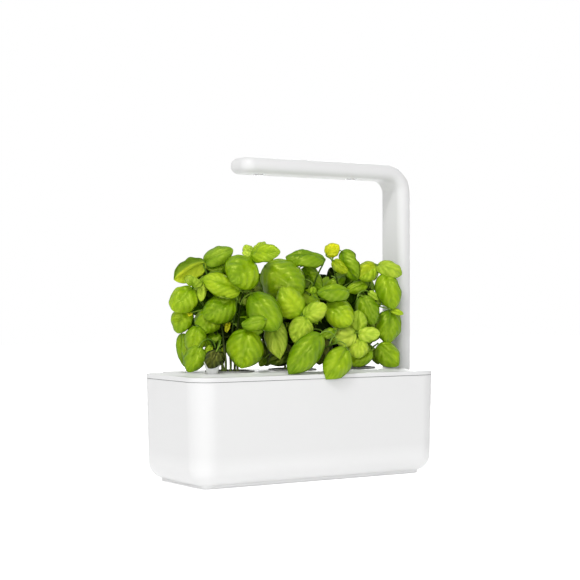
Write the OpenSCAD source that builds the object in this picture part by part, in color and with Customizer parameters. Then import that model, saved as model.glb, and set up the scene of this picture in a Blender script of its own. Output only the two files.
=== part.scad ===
// Countertop hydroponic garden: a water tank, a lid with three growing cups,
// and a lamp arm that plugs into an extension tube at the right end of the lid.
// +X runs along the tank to the lamp post, +Y to the back, +Z up. The origin is
// the middle of the foot ring, on the surface that the garden stands on.

/* [Tank] */
// Length of the tank at the lid seam
body_l = 304; // [298:1:360]
// Width of the tank at the lid seam
body_w = 126; // [120:1:150]
// Height of the lid seam above the table
seam_z = 107; // [104:1:125]
// Plan radius of the corners at the seam
corner_r = 24; // [23:1:28]
// Lean of the walls in degrees
draft = 1.5; // [0.5:0.1:2]
// Radius between the walls and the floor
bottom_r = 18; // [12:1:19]
// Thickness of walls and floor
wall = 2.4; // [2:0.1:2.8]
// Height of the plinth under the floor
plinth_h = 2; // [1.5:0.1:4]
// Width of the plinth band, measured out from the corner axes
plinth_w = 8; // [7:0.5:10]
// Thickness of the bulkhead beside the dry bay
bulkhead_t = 2; // [1.5:0.1:3]

/* [Foot ring] */
// Width of the soft foot ring
foot_w = 4; // [3:0.5:5]
// How far the foot ring stands out of the plinth
foot_proud = 0.5; // [0.3:0.1:1]
// Depth of the groove that holds the foot ring
foot_groove = 1.5; // [1:0.1:2]

/* [Lid] */
// Height of the lid rim above the seam
lid_h = 5; // [4.5:0.5:8]
// Thickness of the lid plate
lid_t = 2.5; // [2:0.1:3]
// Rounding of the lid's top edge
lid_edge_r = 1.2; // [0.6:0.1:1.6]
// Depth of the locating lip below the seam
lip_h = 4; // [3:0.5:6]
// Thickness of the locating lip
lip_t = 1.6; // [1.2:0.1:1.8]
// Distance from the lid's edge to the raised panel
panel_inset = 13.5; // [12:0.5:15]
// Height of the raised panel
panel_h = 2; // [1.5:0.1:4]
// Width of the slope around the raised panel
panel_slope = 5; // [3:0.5:7]

/* [Growing cups] */
// Distance from the last cup to the face of the lamp post
cup_to_post = 52.3; // [46:0.1:60]
// Inner radius of a cup
cup_r = 23.7; // [22:0.1:25]
// Wall of a cup
cup_wall = 1.8; // [1.4:0.1:2.2]
// Width of the flange that a cup hangs by
cup_flange_w = 3.5; // [2.5:0.1:4.5]
// Thickness of that flange
cup_flange_t = 1.6; // [1.2:0.1:1.8]
// Depth of a cup below the lid
cup_depth = 54; // [45:1:60]
// Radius of a wick
wick_r = 4; // [3:0.1:5]
// Length of the wick tube under a cup
wick_tube_l = 40; // [30:1:42]
// How far a wick hangs out of its tube
wick_tail = 10; // [4:1:11]

/* [Plant pods] */
// Wall of a pod
pod_wall = 1.2; // [0.8:0.1:1.6]
// How much narrower a pod is at its foot than at its lip
pod_taper = 2.2; // [1:0.1:3]
// Depth of a pod
pod_depth = 48; // [40:1:50]
// Thickness of the pod's lip
pod_lip_t = 1.4; // [1:0.1:2]

/* [Water gauge] */
// Radius of the float chamber
float_r = 8.6; // [7:0.1:9]
// Length of the float chamber
float_l = 38; // [25:1:42]
// Radius of the neck below the gauge cup
float_neck_r = 5.6; // [4:0.1:6]
// Height of the gauge cup above the raised panel with a full tank
float_show = 12; // [8:1:16]
// Distance from the end of the tank to the float's axis
float_inset = 39; // [36:1:42]
// Distance from the float's axis to the left cup's, along the tank
float_dx = 35; // [33:1:36]
// Distance of the float in front of the cups' line
float_dy = 24; // [20:1:30]
// Width of the filling slot
fill_w = 15; // [10:1:16]
// Length of the filling slot
fill_l = 34; // [24:1:40]

/* [Lamp post] */
// Thickness of the post and arm
arm_t = 17; // [16:0.5:20]
// Width of the post and arm
arm_w = 39; // [36:1:46]
// Rounding of the post's and arm's edges
arm_r = 8; // [5:0.5:8]
// Wall of the post and arm
arm_wall = 2; // [1.6:0.1:2.4]
// Distance from the outer face of the post to the end of the tank
post_gap = 4.7; // [4.5:0.1:8]
// Visible length of the extension tube
ext_l = 129; // [80:1:140]
// Depth of the plugs at the foot of the lamp arm and of the tube
plug_l = 22; // [16:1:26]
// Length of a plug inside the piece that carries it
plug_root = 12; // [8:1:16]
// Wall of the socket under the lid
socket_wall = 1.8; // [1.4:0.1:2]
// Radius of the contact pins
pin_r = 1; // [0.8:0.1:1.2]
// Spacing of the contact pins
pin_pitch = 9; // [7:0.5:10]

/* [Lamp arm] */
// Height of the arm's top above the table
arm_top = 338; // [330:1:360]
// Reach of the arm from the post's outer face to its tip
arm_reach = 217.4; // [210:0.1:240]
// Radius of the bend at the outer face
bend_r = 31; // [26:1:40]
// Plan radius of the arm's tip
tip_r = 12; // [9:0.5:13]
// Width of the cover under the arm
cover_w = 22.6; // [20:0.1:22.8]
// Distance between the two lenses
lens_pitch = 119; // [100:1:130]
// Distance from the tip to the first lens
lens_start = 28; // [26:1:34]
// Radius of a lens
lens_r = 6.8; // [5:0.1:8]
// Height of a lens's dome below the arm
lens_dome = 1.3; // [0.8:0.1:2]
// Length of a vent slot in the cover
vent_l = 12; // [6:1:16]

/* [Power inlet] */
// Height of the inlet's axis above the table
inlet_z = 83; // [80:0.5:84]
// Radius of the inlet's bore
inlet_r = 3.2; // [2.8:0.1:3.4]
// Radius of the inlet's barrel
barrel_r = 5; // [4.4:0.1:5.4]

/* [Hidden] */
$fn = 96;

// Clearances
fit = 0.3;        // between pieces that come apart
snug = 0.15;      // between pieces that are fixed together
run = 0.06;       // around pins and screws
eps = 0.01;       // overlap of unions and cuts
past = 1;         // how far a cut runs past what it cuts

// Tank
floor_z = foot_proud + plinth_h;
corner_x = body_l / 2 - corner_r;
corner_y = body_w / 2 - corner_r;
lean = tan(draft);
foot_mid = plinth_w / 2;

// Lid
lid_z = seam_z + lid_h;
lid_under = lid_z - lid_t;
panel_z = lid_z + panel_h;
lip_r = corner_r - wall - fit - 0.2;
shadow_w = 0.8;
shadow_h = 0.6;

// Post and arm
post_x = body_l / 2 - post_gap - arm_t / 2;
post_in = post_x - arm_t / 2;
ext_top = lid_z + ext_l;
arm_under = arm_top - arm_t;
arm_z = arm_top - arm_t / 2;
tip_x = post_x + arm_t / 2 - arm_reach;
bend_mid = bend_r - arm_t / 2;
bend_x = post_x - bend_mid;
bend_z = arm_z - bend_mid;
plug_t = arm_t - 2 * arm_wall;
plug_w = arm_w - 2 * arm_wall;
plug_r = arm_r - arm_wall;
pin_l = 7;
pin_root = 3.5;
pin_ys = [-pin_pitch, 0, pin_pitch];
wire_t = 5;
wire_w = 14;
wire_r = 1.1;
wire_ys = [-2.5, 2.5];
socket_l = 16;
socket_top = ext_top - plug_l - fit;
socket_low = socket_top - socket_l;

// Raised panel and what stands in it
panel_r = corner_r - panel_inset;
panel_l = -body_l / 2 + panel_inset;
panel_e = post_in - 6;
float_x = -body_l / 2 + float_inset;
cup_pitch = (post_in - cup_to_post - float_x - float_dx) / 2;
cup_xs = [for (i = [0:2]) float_x + float_dx + i * cup_pitch];
fill_x = float_x - 6;
fill_y = -float_dy + float_r + fill_l / 2 + 6;
seat_rim = 3;

// Water gauge
guide_r = float_r + 0.5;
guide_wall = 1.4;
guide_floor = 2;
guide_rim = 4;
float_top = panel_z + float_show;
float_low = panel_z - 10 - float_l;

// Growing cups, wicks and pods
cup_out = cup_r + cup_wall;
cup_z = panel_z - cup_depth;
tube_z = cup_z - wick_tube_l;
tube_wall = 1.5;
pod_r = cup_r - 0.5;
pod_z = panel_z - pod_depth;
pod_lip_w = 2.6;
pod_hole_r = 5;
soil_top = panel_z - 1;

// Dry bay
bay_x = post_in - 20.3;
socket_z = lid_z - plug_l - 6;
socket_floor = 4;
ear_y = arm_w / 2 + 4.5;
ear_t = 2.5;
ear_r = 4;
boss_h = 6;
screw_r = 1.5;
board_t = 1.6;
board_z = socket_z - 6 - board_t;
board_x0 = bay_x + 4;
board_x1 = post_x + 4.5;
board_y0 = -plug_w / 2 - 3;
board_y1 = body_w / 2 - 12;
leg_y = plug_w / 2 - 1;
leg_r = 2.8;
leg_screw_r = 1.2;
contact_t = 8;
contact_w = 2 * pin_pitch + 6;
timer_w = 8;
timer_l = 10;
timer_t = 1.8;
capacitor_r = 4;
capacitor_h = 11;
crystal_r = 1.6;
crystal_h = 5;

// Power inlet
notch_w = 2 * barrel_r + 3;
notch_z = inlet_z - barrel_r - 1.5;
notch_y = body_w / 2 - 12;
inlet_x = corner_x - notch_w / 2 - 1;
bezel_y = body_w / 2 - (seam_z - notch_z) * lean - 0.2;
bezel_t = 3;
jack_face = bezel_y - 5;
jack_l = 12;

// Lamp
cover_x0 = tip_x + tip_r;
cover_x1 = bend_x - 5;
lens_xs = [tip_x + lens_start, tip_x + lens_start + lens_pitch];
cover_screw_xs = [lens_xs[0] - lens_r - 5.2, lens_xs[0] + lens_pitch * 0.7, cover_x1 - 5];
cover_screw_r = 1.25;
led_z = arm_z;
led_x0 = cover_x0 - 2;
led_x1 = cover_x1 - 11;
led_w = 18;
sink_t = 2;
chip = 3;
chip_gap = 1.8;
chip_t = 0.7;

// Plants: the rows of leaves and stems are written for cups 78 apart, a tank 126
// wide and 208 between soil and lamp, and fill whatever room there is
grow = [cup_pitch / 78, body_w / 126, (arm_under - soil_top) / 208];
stem_r = 1.5;
stalk_r = 0.8;
leaf_t = 1.2;
leaf_cup = 0.5;
leaf_dome = 30;
leaf_full = 1.06;
filler_count = 18;
inner_count = 14;
golden = 137.5;

// ---------- shared shapes ----------

// Rectangle with round corners, centred
module round_rect(l, w, r) {
    square([l - 2 * r, w], center = true);
    square([l, w - 2 * r], center = true);
    for (x = [-1, 1], y = [-1, 1])
        translate([x * (l / 2 - r), y * (w / 2 - r)]) circle(r);
}

// A half section carried around four corner axes at [+-cx, +-cy]
module around(cx, cy) {
    for (i = [0:3])
        translate([(i == 0 || i == 3 ? 1 : -1) * cx, (i < 2 ? 1 : -1) * cy, 0])
            rotate(90 * i) rotate_extrude(angle = 90) children();
    for (a = [0, 180]) {
        rotate(a) translate([cx, 0, 0]) rotate([90, 0, 0])
            linear_extrude(2 * cy, center = true) children();
        rotate(a) translate([0, cy, 0]) rotate([90, 0, 90])
            linear_extrude(2 * cx, center = true) children();
    }
}

// A slab with round plan corners between two heights
module slab(l, w, r, z0, z1) {
    translate([0, 0, z0]) linear_extrude(z1 - z0) round_rect(l, w, r);
}

// A vertical cylinder between two heights
module post(r, z0, z1) {
    translate([0, 0, z0]) cylinder(r = r, h = z1 - z0);
}

// A body of revolution from a list of [radius, height] points
module turned(points) {
    rotate_extrude() polygon(points);
}

// ---------- tank ----------

// Half section of the tank's outside, moved in by d and cut off at z_top
module tank_half(d, z_top) {
    e = bottom_r - d;
    z0 = floor_z + d;
    r_seam = corner_r - d;
    re = r_seam - (seam_z - z0 - e) * lean - e / cos(draft);
    intersection() {
        translate([0, z0]) square([corner_r + 10, z_top - z0]);
        union() {
            translate([re, z0 + e]) circle(e);
            polygon([[0, z0], [re, z0], [re + e * cos(draft), z0 + e - e * sin(draft)],
                     [r_seam + 5 * lean, seam_z + 5], [0, seam_z + 5]]);
        }
    }
}

module tank() {
    color("white") {
        difference() {
            union() {
                around(corner_x, corner_y) {
                    difference() {
                        union() {
                            tank_half(0, seam_z);
                            translate([0, foot_proud]) square([plinth_w, plinth_h + 1]);
                        }
                        tank_half(wall, seam_z + 1);
                        translate([foot_mid - foot_w / 2 - snug, foot_proud - 1])
                            square([foot_w + 2 * snug, foot_groove + 1]);
                    }
                }
                translate([-corner_x, -corner_y, floor_z]) cube([2 * corner_x, 2 * corner_y, wall]);
                bulkhead();
            }
            translate([inlet_x - notch_w / 2, notch_y, notch_z]) cube([notch_w, 20, seam_z]);
        }
    }
}

// Wall between the water and the dry bay
module bulkhead() {
    top = seam_z - lip_h - 2;
    translate([bay_x - bulkhead_t, 0, 0]) rotate([90, 0, 90]) linear_extrude(bulkhead_t)
        for (s = [0, 1]) mirror([s, 0]) {
            translate([corner_y - eps, 0]) tank_half(wall / 2, top);
            translate([-eps, floor_z + wall / 2]) square([corner_y, top - floor_z - wall / 2]);
        }
}

module foot_ring() {
    color("gainsboro") around(corner_x, corner_y)
        translate([foot_mid - foot_w / 2, 0]) square([foot_w, foot_proud + foot_groove - eps]);
}

// ---------- lid ----------

// Half section of the rim: a locating lip, a shadow line at the seam, a round edge
module lid_half() {
    polygon([[0, lid_under], [lip_r - lip_t, lid_under], [lip_r - lip_t, seam_z - lip_h],
             [lip_r, seam_z - lip_h], [lip_r, seam_z], [corner_r - shadow_w, seam_z],
             [corner_r - shadow_w, seam_z + shadow_h], [corner_r, seam_z + shadow_h],
             [corner_r, lid_z - lid_edge_r], [corner_r - lid_edge_r, lid_z], [0, lid_z]]);
    translate([corner_r - lid_edge_r, lid_z - lid_edge_r]) circle(lid_edge_r);
}

// The raised panel with a slope all round it, rooted in the lid plate
module panel() {
    cy = body_w / 2 - panel_inset - panel_r;
    cx = (panel_e - panel_l) / 2 - panel_r;
    root = lid_under + lid_t / 2;
    translate([(panel_l + panel_e) / 2, 0, 0]) {
        around(cx, cy) polygon([[0, root], [panel_r, root], [panel_r, lid_z],
                                [panel_r - panel_slope, panel_z], [0, panel_z]]);
        translate([-cx, -cy, root]) cube([2 * cx, 2 * cy, panel_z - root]);
    }
}

// Hollow under the raised panel, clear of the seats of cups and float
module panel_hollow() {
    inset = panel_slope + 2;
    difference() {
        translate([(panel_l + panel_e) / 2, 0, 0])
            slab(panel_e - panel_l - 2 * inset, body_w - 2 * panel_inset - 2 * inset, 4,
                 lid_under - past, panel_z - lid_t);
        for (x = cup_xs) translate([x, 0, 0]) post(cup_out + cup_flange_w + seat_rim, lid_under - 2, panel_z);
        translate([float_x, -float_dy, 0]) post(guide_r + guide_rim, lid_under - 2, panel_z);
    }
}

module lid() {
    color("white") difference() {
        union() {
            around(corner_x, corner_y) lid_half();
            translate([-corner_x, -corner_y, lid_under]) cube([2 * corner_x, 2 * corner_y, lid_t]);
            difference() {
                panel();
                panel_hollow();
            }
            for (y = [-ear_y, ear_y]) translate([post_x, y, 0])
                post(ear_r, lid_under - boss_h, lid_under + eps);
        }
        panel_hollow();
        for (x = cup_xs) translate([x, 0, 0]) {
            post(cup_out + fit, lid_under - past, panel_z + past);
            post(cup_out + cup_flange_w + fit, panel_z - cup_flange_t, panel_z + past);
        }
        translate([float_x, -float_dy, 0]) post(guide_r, lid_under - past, panel_z + past);
        translate([fill_x, fill_y, 0]) slab(fill_w, fill_l, fill_w / 2 - eps, lid_under - past, panel_z + past);
        translate([post_x, 0, 0])
            slab(plug_t + 2 * snug, plug_w + 2 * snug, plug_r, lid_under - past, lid_z + past);
        for (y = [-ear_y, ear_y]) translate([post_x, y, 0])
            post(screw_r + run, lid_under - boss_h - past, lid_z - 1.2);
        translate([inlet_x - notch_w / 2 - 3.5, notch_y, seam_z - lip_h - past])
            cube([notch_w + 7, 20, lip_h + past]);
    }
}

// ---------- water gauge ----------

module float_cup() {
    color("white") translate([float_x, -float_dy, 0]) turned([
        [0, float_low], [float_r - 1, float_low], [float_r, float_low + 1],
        [float_r, float_low + float_l - 3], [float_neck_r, float_low + float_l],
        [float_neck_r, panel_z], [float_r - 0.1, float_top - 1], [float_r - 0.1, float_top],
        [float_r - 1.3, float_top], [float_neck_r - 1.4, float_top - 8], [0, float_top - 8]]);
}

module float_guide() {
    low = float_low - float_show - fit - guide_floor;
    color("white") translate([float_x, -float_dy, 0]) difference() {
        turned([[guide_r - 3, low], [guide_r + guide_wall, low], [guide_r + guide_wall, lid_under - 2],
                [guide_r + guide_rim, lid_under - 2], [guide_r + guide_rim, lid_under], [guide_r, lid_under],
                [guide_r, low + guide_floor], [guide_r - 3, low + guide_floor]]);
        for (a = [0, 120, 240]) rotate(a)
            translate([0, -1.5, low + guide_floor + 3]) cube([guide_r + 5, 3, 30]);
    }
}

// ---------- growing cups ----------

module cup(x) {
    wi = wick_r + fit;
    floor_t = 2;
    color("whitesmoke") translate([x, 0, 0]) turned([
        [wi, tube_z], [wi + tube_wall, tube_z], [wi + tube_wall, cup_z], [cup_out, cup_z],
        [cup_out, panel_z - cup_flange_t], [cup_out + cup_flange_w, panel_z - cup_flange_t],
        [cup_out + cup_flange_w, panel_z], [cup_r, panel_z], [cup_r, cup_z + floor_t], [wi, cup_z + floor_t]]);
}

module wick(x) {
    color("ivory") translate([x, 0, 0]) post(wick_r, tube_z - wick_tail, panel_z - pod_depth - fit);
}

// ---------- plant pods ----------

module pod(x) {
    foot = pod_r - pod_taper;
    color("gray") translate([x, 0, 0]) turned([
        [pod_hole_r, pod_z], [foot, pod_z], [pod_r, panel_z], [pod_r + pod_lip_w, panel_z],
        [pod_r + pod_lip_w, panel_z + pod_lip_t], [pod_r - pod_wall, panel_z + pod_lip_t],
        [foot - pod_wall, pod_z + pod_wall], [pod_hole_r, pod_z + pod_wall]]);
}

module soil(x) {
    top = pod_r - pod_wall - fit;
    color("#3a2a1c") translate([x, 0, 0]) turned([
        [0, pod_z + pod_wall], [top - pod_taper, pod_z + pod_wall], [top, soil_top], [0, soil_top]]);
}

// ---------- plants ----------

// The plants are laid out in a frame of their own for each cup: u runs to the
// right and w to the front, both turned by this angle about the cup's axis,
// and z is measured up from the soil
turn = 33;

// One leaf a row: [u, z, w] of its foot, heading (0 is right, 90 is up, 270 is
// down), lean to the front, roll, length, width and curl
leaves_left = [
    [-26, 116, 5, 214, 10, 145, 38, 26, 30],
    [-27, 114, 2, 28, 0, -14, 34, 20, 20],
    [25, 124, 5, 5, 25, -30, 29, 19, 30],
    [26, 126, -4, 45, -30, -40, 18, 14, 20],
    [24, 121, 6, 158, 10, 30, 12, 8, 10],
    [23, 123, 0, 125, -10, 20, 13, 12, 20],
    [22, 117, 8, 232, 35, 0, 36, 38, 35],
    [12, 85, 14, 160, 5, 25, 42, 26, 25],
    [-38, 89, 10, 228, 15, 20, 33, 29, 30],
    [-28, 93, 12, 265, 10, 0, 19, 10, 15],
    [-38, 89, 14, 80, 50, -10, 17, 19, 20],
    [5, 77, 8, 216, 15, 10, 38, 30, 30],
    [2, 79, 16, 172, 10, 60, 15, 10, 10],
    [-49, 70, 2, 262, 10, 20, 30, 24, 25],
    [-18, 67, 4, 250, 10, 5, 28, 28, 25],
    [-38, 63, 8, 200, 0, 20, 8, 6, 5],
    [-33, 49, 12, 262, 8, 0, 29, 22, 25],
    [-30, 29, 32, 250, 5, 5, 29, 22, 15],
    [-51, 41, -2, 278, 0, 40, 36, 20, 20],
    [-19, 29, 6, 245, 0, 20, 18, 10, 10],
    [20, 45, 18, 260, 10, 0, 41, 38, 20],
    [23, 83, 8, -52, 15, -10, 49, 33, 25],
    [36, 46, 16, 165, 0, 10, 24, 18, 15],
    [-9, 23, 4, 240, 0, 30, 20, 16, 15],
    [-1, 54, 0, 255, 0, 30, 13, 7, 5]];
leaves_mid = [
    [-30, 112, 8, -39, 12, -5, 52, 46, 30],
    [10, 61, 34, 130, 0, 20, 36, 31, 25],
    [-19, 56, 16, -84, 10, 10, 46, 22, 15],
    [11, 59, 36, 22, 5, -15, 27, 21, 20],
    [15, 57, 38, 240, 5, 5, 29, 25, 20],
    [35, 120, -2, 178, 5, 55, 43, 25, 25],
    [12, 111, -14, -62, 0, 0, 34, 22, 20],
    [22, 81, 22, 90, 10, 0, 9, 8, 10],
    [60, 86, 22, 185, 10, 50, 35, 24, 25],
    [37, 74, 18, -42, 20, -5, 37, 29, 25],
    [48, 25, 47, 256, 14, -24, 37, 34, 25],
    [27, 41, 57, 235, 12, 5, 50, 31, 25],
    [45, 44, 26, 205, 0, 20, 17, 12, 10],
    [-3, 20, 24, 205, 0, 15, 25, 15, 10],
    [-29, 14, 8, 240, 0, 10, 11, 8, 5]];
leaves_right = [
    [-29, 125, 14, 38, 0, -15, 18, 16, 15],
    [-21, 119, 16, -45, 10, -10, 21, 14, 15],
    [-12, 129, 12, -62, 10, 45, 38, 24, 40],
    [26, 115, 10, 218, 20, 15, 27, 23, 20],
    [27, 114, 14, -25, 10, -30, 31, 20, 70],
    [36, 105, 20, -79, 10, -15, 41, 27, 30],
    [17, 85, 22, -35, 0, -30, 15, 9, 10],
    [16, 94, 12, 202, 5, 30, 24, 16, 20],
    [10, 80, 30, -64, 10, -10, 34, 24, 25],
    [42, 65, 18, -94, 5, -15, 38, 29, 20],
    [41, 65, 24, -18, 0, -30, 15, 8, 10],
    [3, 42, 50, 85, -5, -10, 23, 20, 10],
    [2, 41, 55, 200, 0, 15, 26, 19, 15],
    [4, 40, 52, -2, 5, -20, 24, 17, 15],
    [4, 35, 50, 250, 20, 0, 22, 18, 15],
    [13, 27, 44, -85, 0, 20, 13, 6, 5],
    [20, 22, 44, 208, 5, 10, 30, 20, 15],
    [28, 28, 24, -48, 5, -10, 32, 25, 20],
    [25, 22, 16, -80, 0, 10, 17, 12, 10]];

// One stem a row: [u, w] of its foot, then [u, z, w] of its head
stems_left = [[-4, 4, -27, 112, 3], [5, 2, 23, 118, 3], [-8, -3, -38, 87, 9],
              [1, 8, 10, 84, 12], [8, 8, 18, 46, 16], [-6, 9, -30, 44, 8]];
stems_mid = [[-5, 2, -24, 109, 5], [4, -3, 33, 114, -4], [3, 7, 9, 60, 33],
             [8, 3, 45, 80, 18], [-8, 6, -18, 50, 12], [9, 8, 40, 36, 36]];
stems_right = [[-6, 2, -22, 118, 13], [6, -2, 25, 113, 10], [8, 4, 34, 90, 16],
               [-2, 8, 5, 78, 27], [2, 9, 4, 38, 48], [9, 6, 27, 28, 21]];

// A point given as [u, z, w] in a cup's frame
function placed(p) = [grow[0] * (p[0] * cos(turn) - p[2] * sin(turn)),
                      -grow[1] * (p[0] * sin(turn) + p[2] * cos(turn)), grow[2] * p[1]];

// Axes of a leaf along its midrib, across it and out of its face
function leaf_axes(heading, lean, roll) =
    let (m = [cos(heading) * cos(lean), sin(heading) * cos(lean), sin(lean)],
         q = [0, 0, 1] - m[2] * m,
         n = q / norm(q) * cos(roll) + cross(m, q / norm(q)) * sin(roll))
    [m, cross(n, m), n];

// Half width at the share s of the length
function leaf_half(s, width) = leaf_full * width / 2 * pow(sin(180 * pow(s, 0.88)), 0.47) * (1 - 0.18 * pow(s, 6));

// Point on a leaf: share s along it, v from -1 to 1 across it, raised by t. The
// blade keeps its row's chord and is domed further than the row's curl
function leaf_point(leaf, axes, s, v, t) =
    let (curl = leaf[8], chord = leaf[6] * 360 / (PI * curl) * sin(curl / 2), bend = curl + leaf_dome,
         radius = chord / 2 / sin(bend / 2), half = leaf_half(s, leaf[7]),
         along = radius * (sin(bend / 2) + sin(bend * (s - 0.5))),
         up = radius * (cos(bend * (s - 0.5)) - cos(bend / 2)) - leaf_cup * half * v * v + t)
    placed([leaf[0], leaf[1], leaf[2]] + along * axes[0] + v * half * axes[1] + up * axes[2]);

// A closed leaf: six points around each of the stations between foot and tip
module leaf(row, stations = [0.1, 0.36, 0.66, 0.92]) {
    axes = leaf_axes(row[3], row[4], row[5]);
    ring = [[-1, 0], [-0.35, 1], [0.35, 1], [1, 0], [0.35, -1], [-0.35, -1]];
    n = len(ring);
    last = len(stations) - 1;
    tip = n * len(stations);
    points = concat([for (s = stations, q = ring) leaf_point(row, axes, s, q[0], q[1] * leaf_t / 2)],
                    [leaf_point(row, axes, 1, 0, 0), leaf_point(row, axes, 0, 0, 0)]);
    sides = [for (k = [0:last - 1], i = [0:n - 1]) let (j = (i + 1) % n)
             each [[k * n + i, k * n + j, (k + 1) * n + j], [k * n + i, (k + 1) * n + j, (k + 1) * n + i]]];
    ends = [for (i = [0:n - 1]) let (j = (i + 1) % n)
            each [[tip, last * n + i, last * n + j], [tip + 1, j, i]]];
    polyhedron(points, concat(sides, ends));
}

// Leaves behind and inside the bush, round the stems by the golden angle
function fillers(reach) = [
    for (i = [0:filler_count - 1])
        let (a = i * golden, side = cos(a), depth = -abs(sin(a)), rise = 25 + 83 * i / filler_count)
        [side * 8, rise, depth * 9 - 1.5, side > 0 ? -28 : 208, depth * 55, side > 0 ? -50 : 50,
         reach - 12 + 4 * (i % 3), 22 + 2 * (i % 4), 30]];

function fraction(x) = x - floor(x);

// Leaves deep in the bush that face the front, spread evenly over its width, depth
// and height. Each is written by its middle, and its foot is half its length away
inner = [
    for (i = [1:inner_count])
        let (u = 55 * fraction(0.7549 * i) - 33, z = 22 + 88 * fraction(0.5698 * i), w = -15 * fraction(0.3247 * i) - 1,
             heading = 360 * fraction(0.618 * i), lean = 30 * fraction(0.2361 * i) - 20,
             length = 24 + 6 * fraction(0.8541 * i), m = leaf_axes(heading, lean, 0)[0])
        [u - m[0] * length / 2, z - m[1] * length / 2, w - m[2] * length / 2,
         heading, lean, 80 * fraction(0.4142 * i) - 40, length, 19 + 5 * fraction(0.7321 * i), 25]];

// Point at the share t of a stem, which rises upright and leans out above
function stem_point(stem, t) = [stem[0] + (stem[2] - stem[0]) * t * t, stem[3] * t,
                                stem[1] + (stem[4] - stem[1]) * t * t];

module twig(a, b, ra, rb, sides = 5) {
    hull() {
        translate(placed(a)) sphere(ra, $fn = sides);
        translate(placed(b)) sphere(rb, $fn = sides);
    }
}

module stem(row) {
    steps = 5;
    clear = [0, (stem_r + fit) / grow[2], 0];
    for (i = [0:steps - 1])
        twig(stem_point(row, i / steps) + (i == 0 ? clear : [0, 0, 0]), stem_point(row, (i + 1) / steps),
             stem_r * (1 - 0.4 * i / steps), stem_r * (1 - 0.4 * (i + 1) / steps));
}

// The stalk of a leaf joins the stem point that is nearest from below
module stalk(row, stems) {
    foot = [row[0], row[1], row[2]];
    marks = [for (s = stems, t = [0.3:0.1:1]) stem_point(s, t)];
    costs = [for (p = marks) norm(p - foot) + 1.5 * max(0, p[1] - foot[1])];
    best = [for (i = [0:len(marks) - 1]) if (costs[i] == min(costs)) marks[i]][0];
    twig(best, foot, stalk_r, stalk_r, 4);
}

module plant(x, leaves, reach, stems) {
    color("olivedrab") translate([x, 0, soil_top]) {
        for (row = leaves) leaf(row);
        for (row = fillers(reach)) leaf(row, [0.15, 0.75]);
        for (row = inner) leaf(row, [0.15, 0.75]);
        for (row = concat(leaves, fillers(reach), inner)) stalk(row, stems);
        for (row = stems) stem(row);
    }
}

// ---------- dry bay ----------

module base_socket() {
    color("dimgray") translate([post_x, 0, 0]) difference() {
        union() {
            slab(plug_t + 2 * snug + 2 * socket_wall, plug_w + 2 * snug + 2 * socket_wall, plug_r + socket_wall,
                 socket_z, lid_under);
            for (y = [-1, 1]) {
                translate([0, y * ear_y, 0]) post(ear_r, lid_under - boss_h - ear_t, lid_under - boss_h);
                translate([-ear_r, y * (ear_y + arm_w / 2) / 2 - 4, lid_under - boss_h - ear_t])
                    cube([2 * ear_r, 8, ear_t]);
                translate([0, y * leg_y, 0]) post(leg_r, board_z + board_t, socket_z + eps);
            }
        }
        slab(plug_t + 2 * snug, plug_w + 2 * snug, plug_r, socket_z + socket_floor, lid_under + past);
        slab(contact_t + 2 * snug, contact_w + 2 * snug, 1, socket_z - past, socket_z + socket_floor + past);
        for (y = [-1, 1]) {
            translate([0, y * ear_y, 0]) post(screw_r + run, lid_under - boss_h - 5, lid_under);
            translate([0, y * leg_y, 0]) post(leg_screw_r + run, board_z, socket_z + 1);
        }
    }
}

module base_contacts() {
    top = lid_z - plug_l - fit;
    color("black") translate([post_x, 0, 0]) difference() {
        slab(contact_t, contact_w, 0.8, board_z + board_t, top);
        for (y = pin_ys) translate([0, y, 0]) post(pin_r + run, top - pin_l - 1, top + past);
    }
}

module socket_screws() {
    head = lid_under - boss_h - ear_t;
    color("silver") for (y = [-ear_y, ear_y]) translate([post_x, y, 0]) {
        post(screw_r, head - 0.5, lid_z - 1.6);
        difference() {
            post(2.8, head - 2, head);
            post(1, head - 3, head - 1);
        }
    }
}

module control_board() {
    color("darkgreen") difference() {
        translate([board_x0, board_y0, board_z]) cube([board_x1 - board_x0, board_y1 - board_y0, board_t]);
        for (y = [-1, 1]) translate([post_x, y * leg_y, 0])
            post(leg_screw_r + run, board_z - past, board_z + board_t + past);
    }
}

// Timer chip, buffer capacitor and crystal
module board_parts() {
    x = board_x0 + capacitor_r + 2;
    z = board_z + board_t;
    color("#202020") translate([x - timer_w / 2, -timer_l / 2, z]) cube([timer_w, timer_l, timer_t]);
    color("navy") translate([x, timer_l / 2 + capacitor_r + 7, 0]) post(capacitor_r, z, z + capacitor_h);
    color("silver") translate([x, plug_w - crystal_h, 0]) post(crystal_r, z, z + crystal_h);
}

module board_screws() {
    color("silver") for (y = [-1, 1]) translate([post_x, y * leg_y, 0]) {
        post(leg_screw_r, board_z - 0.5, socket_z);
        difference() {
            post(2.3, board_z - 1.6, board_z);
            post(0.8, board_z - 2, board_z - 0.8);
        }
    }
}

// ---------- power inlet ----------

module dc_jack() {
    color("black") translate([inlet_x, 0, inlet_z]) rotate([-90, 0, 0]) {
        difference() {
            union() {
                translate([-barrel_r, -barrel_r, jack_face - jack_l])
                    cube([2 * barrel_r, inlet_z - board_z - board_t + barrel_r, jack_l]);
                post(barrel_r, jack_face - eps, bezel_y - 0.6);
            }
            post(inlet_r, jack_face - 6, bezel_y + 1);
        }
        post(1, jack_face - 8, bezel_y - 2);
    }
}

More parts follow.
